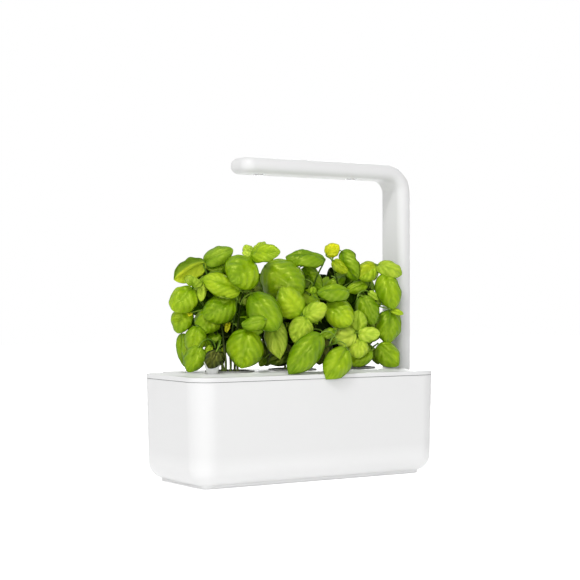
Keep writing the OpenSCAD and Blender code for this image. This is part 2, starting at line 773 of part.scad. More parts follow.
module inlet_bezel() {
    color("white") difference() {
        union() {
            translate([inlet_x - notch_w / 2 + fit, bezel_y - bezel_t, notch_z + fit])
                cube([notch_w - 2 * fit, bezel_t, seam_z - notch_z - fit]);
            translate([inlet_x - notch_w / 2 - 2.5, jack_face, notch_z - 2])
                cube([notch_w + 5, bezel_y - bezel_t - jack_face + eps, seam_z - notch_z + 2]);
        }
        translate([inlet_x, jack_face - 1, inlet_z]) rotate([-90, 0, 0]) post(barrel_r + snug, 0, 20);
    }
}

// ---------- extension tube ----------

module extension_tube() {
    color("white") translate([post_x, 0, 0]) difference() {
        slab(arm_t, arm_w, arm_r, lid_z, ext_top);
        slab(plug_t, plug_w, plug_r, lid_z - 1, ext_top + 1);
    }
}

// A plug block with a wire channel through it and holes for the contact pins
module plug_block(z0, z1, pins_z0, pins_z1) {
    translate([post_x, 0, 0]) difference() {
        slab(plug_t - 2 * snug, plug_w - 2 * snug, plug_r - snug, z0, z1);
        slab(wire_t, wire_w, 1.2, z0 + 4, z1 + 1);
        for (y = pin_ys) translate([0, y, 0]) post(pin_r + run, pins_z0, pins_z1);
    }
}

module pins(z) {
    for (y = pin_ys) translate([post_x, y, 0]) post(pin_r, z - pin_l, z + pin_root);
}

module extension_plug() {
    color("whitesmoke") plug_block(lid_z - plug_l, lid_z + plug_root, lid_z - plug_l - 1, lid_z - plug_l + 5);
}

module extension_pins() {
    color("gold") pins(lid_z - plug_l);
}

module extension_socket() {
    color("dimgray") translate([post_x, 0, 0]) difference() {
        slab(plug_t - 2 * snug, plug_w - 2 * snug, plug_r - snug, socket_low, socket_top);
        slab(wire_t, wire_w, 1.2, socket_low - 1, socket_low + 5);
        for (y = pin_ys) translate([0, y, 0]) post(pin_r + run, socket_top - pin_l - 1, socket_top + 1);
    }
}

module extension_wires() {
    color("firebrick") for (y = wire_ys) translate([post_x, y, 0])
        post(wire_r, lid_z - plug_l + 4.3, socket_low + 4.7);
}

// ---------- lamp arm ----------

// Half of the arm's edge section, from a corner axis of the tip, moved in by d
module arm_half(d) {
    intersection() {
        translate([0, -arm_t]) square([tip_r, 2 * arm_t]);
        translate([-arm_w / 2 + tip_r, 0]) round_rect(arm_w - 2 * d, arm_t - 2 * d, arm_r - d);
    }
}

// The whole arm, moved in by d, with its foot at height z_foot
module arm_solid(d, z_foot) {
    translate([post_x, 0, 0]) slab(arm_t - 2 * d, arm_w - 2 * d, arm_r - d, z_foot, bend_z);
    translate([bend_x, 0, bend_z]) rotate([90, 0, 0]) rotate_extrude(angle = 90)
        translate([bend_mid, 0]) round_rect(arm_t - 2 * d, arm_w - 2 * d, arm_r - d);
    translate([tip_x + tip_r, 0, arm_z]) {
        rotate([90, 0, 90]) linear_extrude(bend_x - tip_x - tip_r)
            round_rect(arm_w - 2 * d, arm_t - 2 * d, arm_r - d);
        for (s = [-1, 1]) translate([0, s * (arm_w / 2 - tip_r), 0])
            rotate(s > 0 ? 90 : 180) rotate_extrude(angle = 90) arm_half(d);
        rotate(180) rotate([90, 0, 0]) linear_extrude(arm_w - 2 * tip_r, center = true) arm_half(d);
    }
}

module lamp_shell() {
    color("white") difference() {
        union() {
            difference() {
                arm_solid(0, ext_top);
                arm_solid(arm_wall, ext_top - 1);
            }
            for (x = cover_screw_xs) translate([x, 0, 0])
                post(3, arm_under + arm_wall, arm_top - arm_wall + eps);
            for (x = lens_xs) translate([x - 14, -led_w / 2, led_z + board_t + sink_t])
                cube([2, led_w, arm_top - arm_wall + eps - led_z - board_t - sink_t]);
        }
        translate([cover_x0 - snug, -cover_w / 2 - snug, arm_under - 1])
            cube([cover_x1 - cover_x0 + 2 * snug, cover_w + 2 * snug, arm_wall + 1]);
        for (x = cover_screw_xs) translate([x, 0, 0])
            post(cover_screw_r + run, arm_under, arm_top - arm_wall - 3);
    }
}

module lamp_cover() {
    color("white") difference() {
        translate([cover_x0, -cover_w / 2, arm_under])
            cube([cover_x1 - cover_x0, cover_w, arm_wall]);
        for (x = lens_xs) translate([x, 0, 0]) post(lens_r + snug, arm_under - 1, arm_under + arm_wall + 1);
        for (x = cover_screw_xs) translate([x, 0, 0]) {
            post(cover_screw_r + run, arm_under - past, arm_under + arm_wall + past);
            post(2.5, arm_under - 1, arm_under + 1);
        }
        for (y = [-7, 7]) translate([lens_xs[0] + lens_pitch / 2 - vent_l / 2, y - 1, arm_under - 1])
            cube([vent_l, 2, arm_wall + 2]);
    }
}

module cover_screws() {
    color("silver") for (x = cover_screw_xs) translate([x, 0, 0]) difference() {
        union() {
            post(cover_screw_r, arm_under + 0.2, arm_under + 8);
            post(2.4, arm_under + 0.2, arm_under + 1);
        }
        post(0.8, arm_under, arm_under + 0.6);
    }
}

// A plate in the arm with holes around the cover's screw posts
module arm_plate(z0, z1, w) {
    difference() {
        translate([led_x0, -w / 2, z0]) cube([led_x1 - led_x0, w, z1 - z0]);
        for (x = cover_screw_xs) translate([x, 0, 0]) post(3.4, z0 - 1, z1 + 1);
    }
}

module heat_spreader() {
    color("lightgray") arm_plate(led_z + board_t, led_z + board_t + sink_t, led_w + 4);
}

module led_board() {
    color("white") arm_plate(led_z, led_z + board_t, led_w);
}

module led_chips() {
    step = (chip + chip_gap) / 2;
    color("khaki") for (x = lens_xs, dx = [-step, step], dy = [-step, step])
        translate([x + dx - chip / 2, dy - chip / 2, led_z - chip_t]) cube([chip, chip, chip_t]);
}

// Lens with a flange above the cover and a shallow dome below it
module led_lenses() {
    dome_r = (lens_r * lens_r + lens_dome * lens_dome) / (2 * lens_dome);
    in_z = arm_under + arm_wall;
    color("aliceblue") for (x = lens_xs) translate([x, 0, 0]) rotate_extrude() {
        translate([0, arm_under]) square([lens_r, arm_wall + eps]);
        translate([0, in_z]) square([lens_r + 1.6, 1.2]);
        translate([0, in_z]) square([5, led_z - chip_t - fit - in_z]);
        intersection() {
            translate([0, arm_under - lens_dome + dome_r]) circle(dome_r, $fn = 360);
            translate([0, arm_under - lens_dome]) square([lens_r, lens_dome + eps]);
        }
    }
}

module lamp_plug() {
    color("whitesmoke")
        plug_block(ext_top - plug_l, ext_top + plug_root, ext_top - plug_l - 1, ext_top - plug_l + 5);
}

module lamp_pins() {
    color("gold") pins(ext_top - plug_l);
}

// Two wires from the plug, through the bend, to the end of the LED board
module lamp_wires() {
    start = ext_top - plug_l + 4.3;
    color("firebrick") for (y = wire_ys) translate([0, y * 2, 0]) {
        translate([post_x, 0, 0]) post(wire_r, start, bend_z);
        translate([bend_x, 0, bend_z]) rotate([90, 0, 0]) rotate_extrude(angle = 90)
            translate([bend_mid, 0]) circle(wire_r);
        translate([led_x1 + 0.3, 0, arm_z]) rotate([0, 90, 0]) cylinder(r = wire_r, h = bend_x - led_x1 - 0.3);
    }
}

tank();
foot_ring();
lid();
float_cup();
float_guide();
cup(cup_xs[0]);  // cup_left
cup(cup_xs[1]);  // cup_mid
cup(cup_xs[2]);  // cup_right
wick(cup_xs[0]);  // wick_left
wick(cup_xs[1]);  // wick_mid
wick(cup_xs[2]);  // wick_right
pod(cup_xs[0]);  // pod_left
pod(cup_xs[1]);  // pod_mid
pod(cup_xs[2]);  // pod_right
soil(cup_xs[0]);  // soil_left
soil(cup_xs[1]);  // soil_mid
soil(cup_xs[2]);  // soil_right
plant(cup_xs[0], leaves_left, 38, stems_left);  // plant_left
plant(cup_xs[1], leaves_mid, 34, stems_mid);  // plant_mid
plant(cup_xs[2], leaves_right, 38, stems_right);  // plant_right
base_socket();
base_contacts();
socket_screws();
control_board();
board_parts();
board_screws();
dc_jack();
inlet_bezel();
extension_tube();
extension_plug();
extension_pins();
extension_socket();
extension_wires();
lamp_shell();
lamp_cover();
cover_screws();
heat_spreader();
led_board();
led_chips();
led_lenses();
lamp_plug();
lamp_pins();
lamp_wires();
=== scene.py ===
import bpy
import numpy as np
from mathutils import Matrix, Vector


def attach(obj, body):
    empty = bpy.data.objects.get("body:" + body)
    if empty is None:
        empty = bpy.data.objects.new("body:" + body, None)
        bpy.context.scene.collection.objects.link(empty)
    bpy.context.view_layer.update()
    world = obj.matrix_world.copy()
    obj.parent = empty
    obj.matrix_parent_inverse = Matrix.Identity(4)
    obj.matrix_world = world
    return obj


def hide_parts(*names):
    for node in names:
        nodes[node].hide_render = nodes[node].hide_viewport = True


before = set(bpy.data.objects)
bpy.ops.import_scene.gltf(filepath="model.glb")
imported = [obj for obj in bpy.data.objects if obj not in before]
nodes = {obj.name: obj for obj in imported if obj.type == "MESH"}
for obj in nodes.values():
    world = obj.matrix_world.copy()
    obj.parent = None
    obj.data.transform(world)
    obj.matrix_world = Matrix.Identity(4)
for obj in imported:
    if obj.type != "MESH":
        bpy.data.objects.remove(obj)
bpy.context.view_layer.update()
MM = 0.001

# ---- Studio ----
# A white sweep under broad soft light. The floor and the world are plain white to
# the camera and to glossy surfaces; the floor still takes the object's shadow.

CAMERA_AT = (-0.8849, -1.3536, 0.1952)
CAMERA_LOOK = (0.5459, 0.8379, 0.0025)
LENS, SENSOR = 93.8, 36
WORLD_LIGHT = 0.49
FLOOR_SIDE = 8.0
FLOOR_DROP = 0.0002
FLOOR_GLOW = 0.66


def srgb(*grey_levels):
    """Colour levels from 0 to 255 on a screen, as the linear colour a shader takes."""
    c = np.array(grey_levels, float) / 255
    c = np.where(c <= 0.04045, c / 12.92, ((c + 0.055) / 1.055) ** 2.4)
    return (*c.tolist(), 1.0)


def new_material(name):
    """A new material, its node tree and its shader."""
    material = bpy.data.materials.new(name)
    material.use_nodes = True
    tree = material.node_tree
    return material, tree, tree.nodes["Principled BSDF"]


def math_node(tree, operation, a, b=None, c=None):
    """A Math node; each operand is a number or another node's output."""
    node = tree.nodes.new("ShaderNodeMath")
    node.operation = operation
    for i, value in enumerate(v for v in (a, b, c) if v is not None):
        if isinstance(value, (int, float)):
            node.inputs[i].default_value = value
        else:
            tree.links.new(value, node.inputs[i])
    return node.outputs[0]


def camera_or_mirror(tree):
    """A value that is 1 for rays from the camera, a mirror or glass."""
    path = tree.nodes.new("ShaderNodeLightPath").outputs
    mirror = math_node(tree, "MAXIMUM", path["Is Glossy Ray"], path["Is Transmission Ray"])
    return math_node(tree, "MAXIMUM", path["Is Camera Ray"], mirror)


cam = bpy.data.objects.new("camera", bpy.data.cameras.new("camera"))
bpy.context.scene.collection.objects.link(cam)
cam.data.lens = LENS
cam.data.sensor_width = SENSOR
cam.data.clip_start, cam.data.clip_end = 0.05, 50
cam.location = CAMERA_AT
cam.rotation_euler = Vector(CAMERA_LOOK).to_track_quat("-Z", "Y").to_euler()
bpy.context.scene.camera = cam
bpy.context.scene.view_settings.view_transform = "Standard"

world = bpy.data.worlds.new("studio")
bpy.context.scene.world = world
world.use_nodes = True
sky = world.node_tree
background = sky.nodes["Background"]
background.inputs["Color"].default_value = (1, 1, 1, 1)
light = math_node(sky, "MULTIPLY_ADD", camera_or_mirror(sky), 1 - WORLD_LIGHT, WORLD_LIGHT)
sky.links.new(light, background.inputs["Strength"])


def softbox(name, at, aim, size, power):
    """A square light at a point, turned to another point. Metres and watts."""
    lamp = bpy.data.objects.new(name, bpy.data.lights.new(name, "AREA"))
    lamp.data.shape = "SQUARE"
    lamp.data.size = size
    lamp.data.energy = power
    lamp.location = at
    lamp.rotation_euler = (Vector(aim) - Vector(at)).to_track_quat("-Z", "Y").to_euler()
    bpy.context.scene.collection.objects.link(lamp)


softbox("key", (-1.0, -0.9, 1.6), (0, 0, 0.14), 0.45, 13.5)
softbox("front_fill", (-1.6, -2.2, 0.2), (0, 0, 0.08), 2.4, 40)
softbox("back_fill", (1.6, 1.5, 0.9), (0, 0, 0.12), 1.3, 22)

half_floor = FLOOR_SIDE / 2
corners = [(x * half_floor, y * half_floor, -FLOOR_DROP) for x, y in ((-1, -1), (1, -1), (1, 1), (-1, 1))]
floor_mesh = bpy.data.meshes.new("floor")
floor_mesh.from_pydata(corners, [], [(0, 1, 2, 3)])
floor = bpy.data.objects.new("floor", floor_mesh)
bpy.context.scene.collection.objects.link(floor)
paper, paper_tree, shader = new_material("paper_sweep")
shader.inputs["Base Color"].default_value = (0.97, 0.97, 0.97, 1)
shader.inputs["Roughness"].default_value = 0.9
shader.inputs["Specular IOR Level"].default_value = 0.0
shader.inputs["Emission Color"].default_value = (1, 1, 1, 1)
glow = math_node(paper_tree, "MULTIPLY", camera_or_mirror(paper_tree), FLOOR_GLOW)
paper_tree.links.new(glow, shader.inputs["Emission Strength"])
floor_mesh.materials.append(paper)

# ---- Tank ----
# Glossy white plastic tank, moulded in one piece with leaning walls, round corners
# and a thin plinth. It carries the lid and holds the water.


def new_group(name, inputs, outputs):
    """An empty shader node group with float inputs {name: value} and typed outputs."""
    group = bpy.data.node_groups.new(name, "ShaderNodeTree")
    for label, value in inputs.items():
        socket = group.interface.new_socket(label, in_out="INPUT", socket_type="NodeSocketFloat")
        socket.default_value = value
    for label, kind in outputs.items():
        group.interface.new_socket(label, in_out="OUTPUT", socket_type=kind)
    return group, group.nodes.new("NodeGroupInput"), group.nodes.new("NodeGroupOutput")


def noise(tree, scale, detail=2.0, rough=0.5):
    """Noise on object coordinates, with scale in waves a metre."""
    where = tree.nodes.new("ShaderNodeTexCoord")
    node = tree.nodes.new("ShaderNodeTexNoise")
    node.inputs["Detail"].default_value = detail
    node.inputs["Roughness"].default_value = rough
    if isinstance(scale, (int, float)):
        node.inputs["Scale"].default_value = scale
    else:
        tree.links.new(scale, node.inputs["Scale"])
    tree.links.new(where.outputs["Object"], node.inputs["Vector"])
    return node.outputs["Fac"]


def moulded_group():
    """Moulded plastic: a slow flow mark in the gloss, a fine skin grain for the bump."""
    group, given, out = new_group(
        "moulded_surface",
        {"Gloss": 0.25, "Flow": 0.05, "Flow size": 30.0, "Grain size": 1500.0},
        {"Roughness": "NodeSocketFloat", "Height": "NodeSocketFloat"})
    flow = noise(group, given.outputs["Flow size"], 3.0)
    spread = math_node(group, "MULTIPLY", math_node(group, "SUBTRACT", flow, 0.5), given.outputs["Flow"])
    group.links.new(math_node(group, "ADD", given.outputs["Gloss"], spread), out.inputs["Roughness"])
    group.links.new(noise(group, given.outputs["Grain size"], 2.0), out.inputs["Height"])
    return group


moulded = moulded_group()


def bump(tree, shader, height, depth, strength=1.0, invert=False):
    """Relief from a height of 0 to 1 that stands for a depth in millimetres."""
    relief = tree.nodes.new("ShaderNodeBump")
    relief.invert = invert
    relief.inputs["Distance"].default_value = depth * MM
    relief.inputs["Strength"].default_value = strength
    tree.links.new(height, relief.inputs["Height"])
    tree.links.new(relief.outputs["Normal"], shader.inputs["Normal"])


def plastic(name, colour, gloss, grain_depth, flow=0.05, grain=1500.0, specular=0.5):
    """A moulded plastic of one colour. Its grain has a depth in millimetres and a
    size in waves a metre."""
    material, tree, shader = new_material(name)
    skin = tree.nodes.new("ShaderNodeGroup")
    skin.node_tree = moulded
    for socket, value in (("Gloss", gloss), ("Flow", flow), ("Grain size", grain)):
        skin.inputs[socket].default_value = value
    bump(tree, shader, skin.outputs["Height"], grain_depth)
    tree.links.new(skin.outputs["Roughness"], shader.inputs["Roughness"])
    shader.inputs["Base Color"].default_value = colour
    shader.inputs["Specular IOR Level"].default_value = specular
    return material


def painted_band(material, low, high, colour, fade=0.001):
    """The same material with another colour painted between two heights in millimetres,
    as painted light or shade; above the band that colour fades over a further height."""
    tree = material.node_tree
    base = tree.nodes["Principled BSDF"].inputs["Base Color"]
    where = tree.nodes.new("ShaderNodeTexCoord")
    split = tree.nodes.new("ShaderNodeSeparateXYZ")
    tree.links.new(where.outputs["Object"], split.inputs[0])
    z = split.outputs["Z"]
    down = math_node(tree, "DIVIDE", math_node(tree, "SUBTRACT", (high + fade) * MM, z), fade * MM)
    fading = tree.nodes.new("ShaderNodeClamp")
    tree.links.new(down, fading.inputs["Value"])
    above = math_node(tree, "GREATER_THAN", z, low * MM)
    mix = tree.nodes.new("ShaderNodeMix")
    mix.data_type = "RGBA"
    tree.links.new(math_node(tree, "MULTIPLY", fading.outputs["Result"], above), mix.inputs[0])
    mix.inputs[6].default_value = base.default_value
    mix.inputs[7].default_value = colour
    tree.links.new(mix.outputs[2], base)
    return material


def dress(material, *names):
    """Gives the objects of CAD nodes one material."""
    for name in names:
        mesh = nodes[name].data
        mesh.materials.clear()
        mesh.materials.append(material)


SHELL_GLOSS = 0.36
SHELL_GRAIN = 0.004
# Top of the plinth, and the height where the tank's painted bounce light fades out
PLINTH_TOP = 2.45
BOUNCE_PAINT_TOP = 34.0

# The plinth and the lower wall are painted paler, fading out 34 mm up: painted bounce light from the white
# table.
tank_white = plastic("tank_white", srgb(232, 232, 232), SHELL_GLOSS, SHELL_GRAIN, specular=0.3)
dress(painted_band(tank_white, 0.0, PLINTH_TOP, srgb(246, 246, 246), BOUNCE_PAINT_TOP - PLINTH_TOP), "tank")

# ---- Foot ring ----
# Soft grey ring pressed into a groove of the plinth. Only its lowest edge shows,
# as a thin line under the tank.

dress(plastic("foot_rubber", srgb(125, 126, 127), 0.7, 0.03, grain=2500.0, specular=0.3), "foot_ring")

# ---- Lid ----
# One white moulding with a locating lip, a shadow line at the seam and a low raised
# panel that seats the cups, the float and the filling slot.

# Heights of the seam's groove, which is painted dark grey: painted shade in the recess.
SEAM_GROOVE_SHADE = (107.02, 107.65)

lid_white = plastic("lid_white", srgb(231, 231, 231), SHELL_GLOSS, SHELL_GRAIN, specular=0.2)
dress(painted_band(lid_white, *SEAM_GROOVE_SHADE, srgb(145, 145, 145)), "lid")

# ---- Water gauge ----
# White float whose flared cup stands up through the lid, in a guide that hangs
# from the lid's underside.

satin_white = plastic("satin_white", srgb(229, 230, 227), 0.42, 0.01, flow=0.1)
dress(plastic("float_white", srgb(236, 237, 236), 0.3, 0.006), "float_cup")
dress(satin_white, "float_guide")

# ---- Growing cups and wicks ----
# Turned white cups that hang by a flange in the lid, each with a felt wick in the
# tube under it.

dress(satin_white, "cup_left", "cup_mid", "cup_right")


def two_tone(tree, shader, fac, dark, pale, low=0.0, high=1.0):
    """Base colour from dark to pale as a value goes from low to high."""
    ramp = tree.nodes.new("ShaderNodeValToRGB")
    first, last = ramp.color_ramp.elements
    first.position, first.color = low, dark
    last.position, last.color = high, pale
    tree.links.new(fac, ramp.inputs["Fac"])
    tree.links.new(ramp.outputs["Color"], shader.inputs["Base Color"])


def felt(name, colour):
    """Pressed felt: short fibres as noise in colour and bump."""
    material, tree, shader = new_material(name)
    fibres = noise(tree, 1800.0, 4.0, 0.7)
    two_tone(tree, shader, fibres, (*(0.6 * c for c in colour[:3]), 1), colour)
    bump(tree, shader, fibres, 0.4)
    shader.inputs["Roughness"].default_value = 0.95
    shader.inputs["Sheen Weight"].default_value = 0.3
    return material


dress(felt("wick_felt", srgb(232, 226, 205)), "wick_left", "wick_mid", "wick_right")

# ---- Plant pods ----
# Tapered grey pods that drop into the growing cups and rest on their rims by a
# thin lip, filled with dark, crumbly growing mix.

CUP_X = {"left": -78.0, "mid": 0.0, "right": 78.0}
SOIL_TOP = 113.0
SOIL_R = 21.7
SOIL_TAPER = 2.2
SOIL_FOOT = 67.2
SOIL_RINGS, SOIL_SIDES = (6, 22), 72
CRUMBS, CRUMB_RINGS, CRUMB_SIDES = 46, 4, 6
CRUMB_REACH = 19.5


def new_mesh(name, points, faces, smooth=True):
    """A mesh object from points in millimetres and arrays of faces, one array for
    each number of corners."""
    sizes = np.concatenate([np.full(len(f), f.shape[1]) for f in faces])
    corners = np.concatenate([np.asarray(f).ravel() for f in faces]).astype(np.int32)
    mesh = bpy.data.meshes.new(name)
    mesh.vertices.add(len(points))
    mesh.vertices.foreach_set("co", (np.asarray(points) * MM).astype(np.float32).ravel())
    mesh.loops.add(len(corners))
    mesh.loops.foreach_set("vertex_index", corners)
    mesh.polygons.add(len(sizes))
    mesh.polygons.foreach_set("loop_start", (np.cumsum(sizes) - sizes).astype(np.int32))
    mesh.polygons.foreach_set("use_smooth", np.full(len(sizes), smooth))
    mesh.update(calc_edges=True)
    piece = bpy.data.objects.new(name, mesh)
    bpy.context.scene.collection.objects.link(piece)
    return piece


def grid_faces(rows, ring):
    """Quads of a tube of rows x ring points that closes round the ring, and the fans
    that close its two ends on one pole each, the last two points. Outside is where
    the next row comes to the left of the next point in the ring."""
    i, j = np.meshgrid(np.arange(rows - 1), np.arange(ring), indexing="ij")
    k = (j + 1) % ring
    here, there = i * ring, (i + 1) * ring
    quads = np.stack([here + j, there + j, there + k, here + k], -1).reshape(-1, 4)
    a = np.arange(ring)
    b = (a + 1) % ring
    top = (rows - 1) * ring
    foot, tip = np.full(ring, rows * ring), np.full(ring, rows * ring + 1)
    return [quads, np.stack([a, b, foot], -1), np.stack([b + top, a + top, tip], -1)]


def lumps(points, rng, longest, waves=28):
    """Smooth random relief, nearly all from -1 to 1: the sum of plane waves in random
    directions over the root of their number. Their lengths run down from the longest
    to a seventh of it, and the height of each goes with the root of its length."""
    way = rng.normal(size=(waves, points.shape[-1]))
    way /= np.linalg.norm(way, axis=1, keepdims=True)
    length = longest * np.geomspace(1, 1 / 7, waves)
    start = rng.uniform(0, 2 * np.pi, waves)
    total = np.sin(2 * np.pi * (points @ way.T) / length + start) * np.sqrt(length / longest)
    return total.sum(-1) / np.sqrt(waves)


def soil_plug(side, seed):
    """A turned plug with a rough top. Rings go up the tapered wall and in over the
    top, which is raised by lumps of relief that fade out at the wall; crumbs of a few
    rough facets lie on it."""
    rng = np.random.default_rng(seed)
    wall_rings, top_rings = SOIL_RINGS
    a = 2 * np.pi * np.arange(SOIL_SIDES) / SOIL_SIDES
    wall_z = np.linspace(SOIL_FOOT, SOIL_TOP - 0.8, wall_rings)
    wall_r = SOIL_R - SOIL_TAPER * (SOIL_TOP - wall_z) / (SOIL_TOP - SOIL_FOOT)
    top_r = SOIL_R * np.cos(np.linspace(0.12, np.pi / 2 - 0.02, top_rings))
    r = np.concatenate([wall_r, top_r])
    z = np.concatenate([wall_z, np.full(top_rings, SOIL_TOP)])
    flat = np.stack([r[:, None] * np.cos(a), r[:, None] * np.sin(a)], -1)
    rough = lumps(flat, rng, 9.0) * 0.8 * np.clip((SOIL_R - r) / 3, 0, 1)[:, None]
    height = z[:, None] + np.where(np.arange(len(r))[:, None] >= wall_rings, rough - 0.3, 0)
    poles = [[0, 0, SOIL_FOOT], [0, 0, height[-1].mean()]]
    body = np.concatenate([np.dstack([flat, height]).reshape(-1, 3), poles])
    points, faces = [body], grid_faces(len(r), SOIL_SIDES)
    count = len(body)
    b = 2 * np.pi * np.arange(CRUMB_SIDES) / CRUMB_SIDES
    up = np.linspace(-1, 1, CRUMB_RINGS + 2)[1:-1, None] + 0 * b
    level = np.sqrt(1 - up**2)
    ball = np.dstack([level * np.cos(b), level * np.sin(b), up]).reshape(-1, 3)
    ball = np.concatenate([ball, [[0, 0, -1], [0, 0, 1]]])
    for _ in range(CRUMBS):
        across = CRUMB_REACH * np.sqrt(rng.random())
        turn = rng.uniform(0, 2 * np.pi)
        size = rng.uniform(0.5, 1.3) * np.array([1, rng.uniform(0.6, 1), rng.uniform(0.5, 0.8)])
        crumb = ball * rng.uniform(0.8, 1.2, (len(ball), 1)) * size
        points.append(crumb + [across * np.cos(turn), across * np.sin(turn), SOIL_TOP + 0.1])
        faces += [f + count for f in grid_faces(CRUMB_RINGS, CRUMB_SIDES)]
        count += len(ball)
    return new_mesh("soil_" + side + "_rough", np.concatenate(points) + [CUP_X[side], 0, 0], faces)


def speckled(name, dark, pale, scale, depth, rough=0.95):
    """Matter in two tones: clots of noise in colour, finer ones in the bump."""
    material, tree, shader = new_material(name)
    two_tone(tree, shader, noise(tree, scale, 6.0, 0.75), dark, pale, 0.35, 0.7)
    bump(tree, shader, noise(tree, scale * 3, 5.0, 0.8), depth)
    shader.inputs["Roughness"].default_value = rough
    shader.inputs["Specular IOR Level"].default_value = 0.2
    return material


def plant_piece(piece, node, slot, side, *materials):
    """Dresses a new piece that rides on a pod in the place of its CAD node."""
    for material in materials:
        piece.data.materials.append(material)
    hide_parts(node + "_" + side)
    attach(piece, "pod_" + side)


dress(speckled("pod_grey", srgb(128, 128, 126), srgb(158, 158, 155), 700.0, 0.06, 0.55),
      "pod_left", "pod_mid", "pod_right")
soil_mix = speckled("soil_mix", srgb(22, 15, 10), srgb(66, 46, 30), 420.0, 0.8)
for seed, side in enumerate(CUP_X, 11):
    plant_piece(soil_plug(side, seed), "soil", "soil", side, soil_mix)

# ---- Basil plants ----
# Three pods of sweet basil: square green stems that fork towards the tips, short
# leaf stalks, and domed leaves with the blade puffed up between sunk veins. Each
# plant is one piece and grows in a frame of its own, turned to face the viewer.

# The plants face the viewer at TURN. A leaf's thickness and its points along and
# across; the arc added to its curl; factors on its width, bow and puff
TURN = np.radians(33)
LEAF_T = 0.5
STATIONS, ACROSS = 44, 19
DOME = 30
FULLER, BOWED, PUFFED = 1.06, 1.35, 1.3
# Leaves behind the front ones: round the stems, deep inside, and small ones there
FILLERS, INNER, TUCKED = 18, 14, 24
INNER_TOP = 98
STALK_GREEN = (0.17, 0.30, 0.03)
STEM_FOOT = (0.36, 0.42, 0.14)
# Stem tone above the foot: nearly black, painted shade inside the bush
STEM_PAINTED_SHADE = (0.020, 0.036, 0.006)
PLANT_VALUES = ["leaf_v", "leaf_crown", "leaf_edge", "leaf_width", "leaf_under"]
STALK_V = 2.0
STALK_R, STEM_R = (0.95, 0.6), (1.25, 0.75)
STALK_SIDES, STEM_SIDES = 6, 8
STEM_RINGS, STEM_ROOT, STEM_SWAY = 22, 1.5, 0.35

# Leaf tones: the linear colour of the blade, from deep shade to the youngest leaves.
# The 'shade' and 'deep' tones are painted shade: nearly black leaves for the dark inside of the bush
TONES = {
    "shade": (0.006, 0.014, 0.001),
    "deep": (0.030, 0.070, 0.001),
    "dark": (0.090, 0.172, 0.001),
    "mid": (0.203, 0.348, 0.002),
    "full": (0.272, 0.425, 0.003),
    "light": (0.365, 0.520, 0.010),
    "fresh": (0.475, 0.615, 0.045),
    "pale": (0.600, 0.750, 0.080),
    "olive": (0.480, 0.560, 0.010),
    "lime": (0.720, 0.770, 0.012),
    "gold": (0.820, 0.760, 0.008),
}

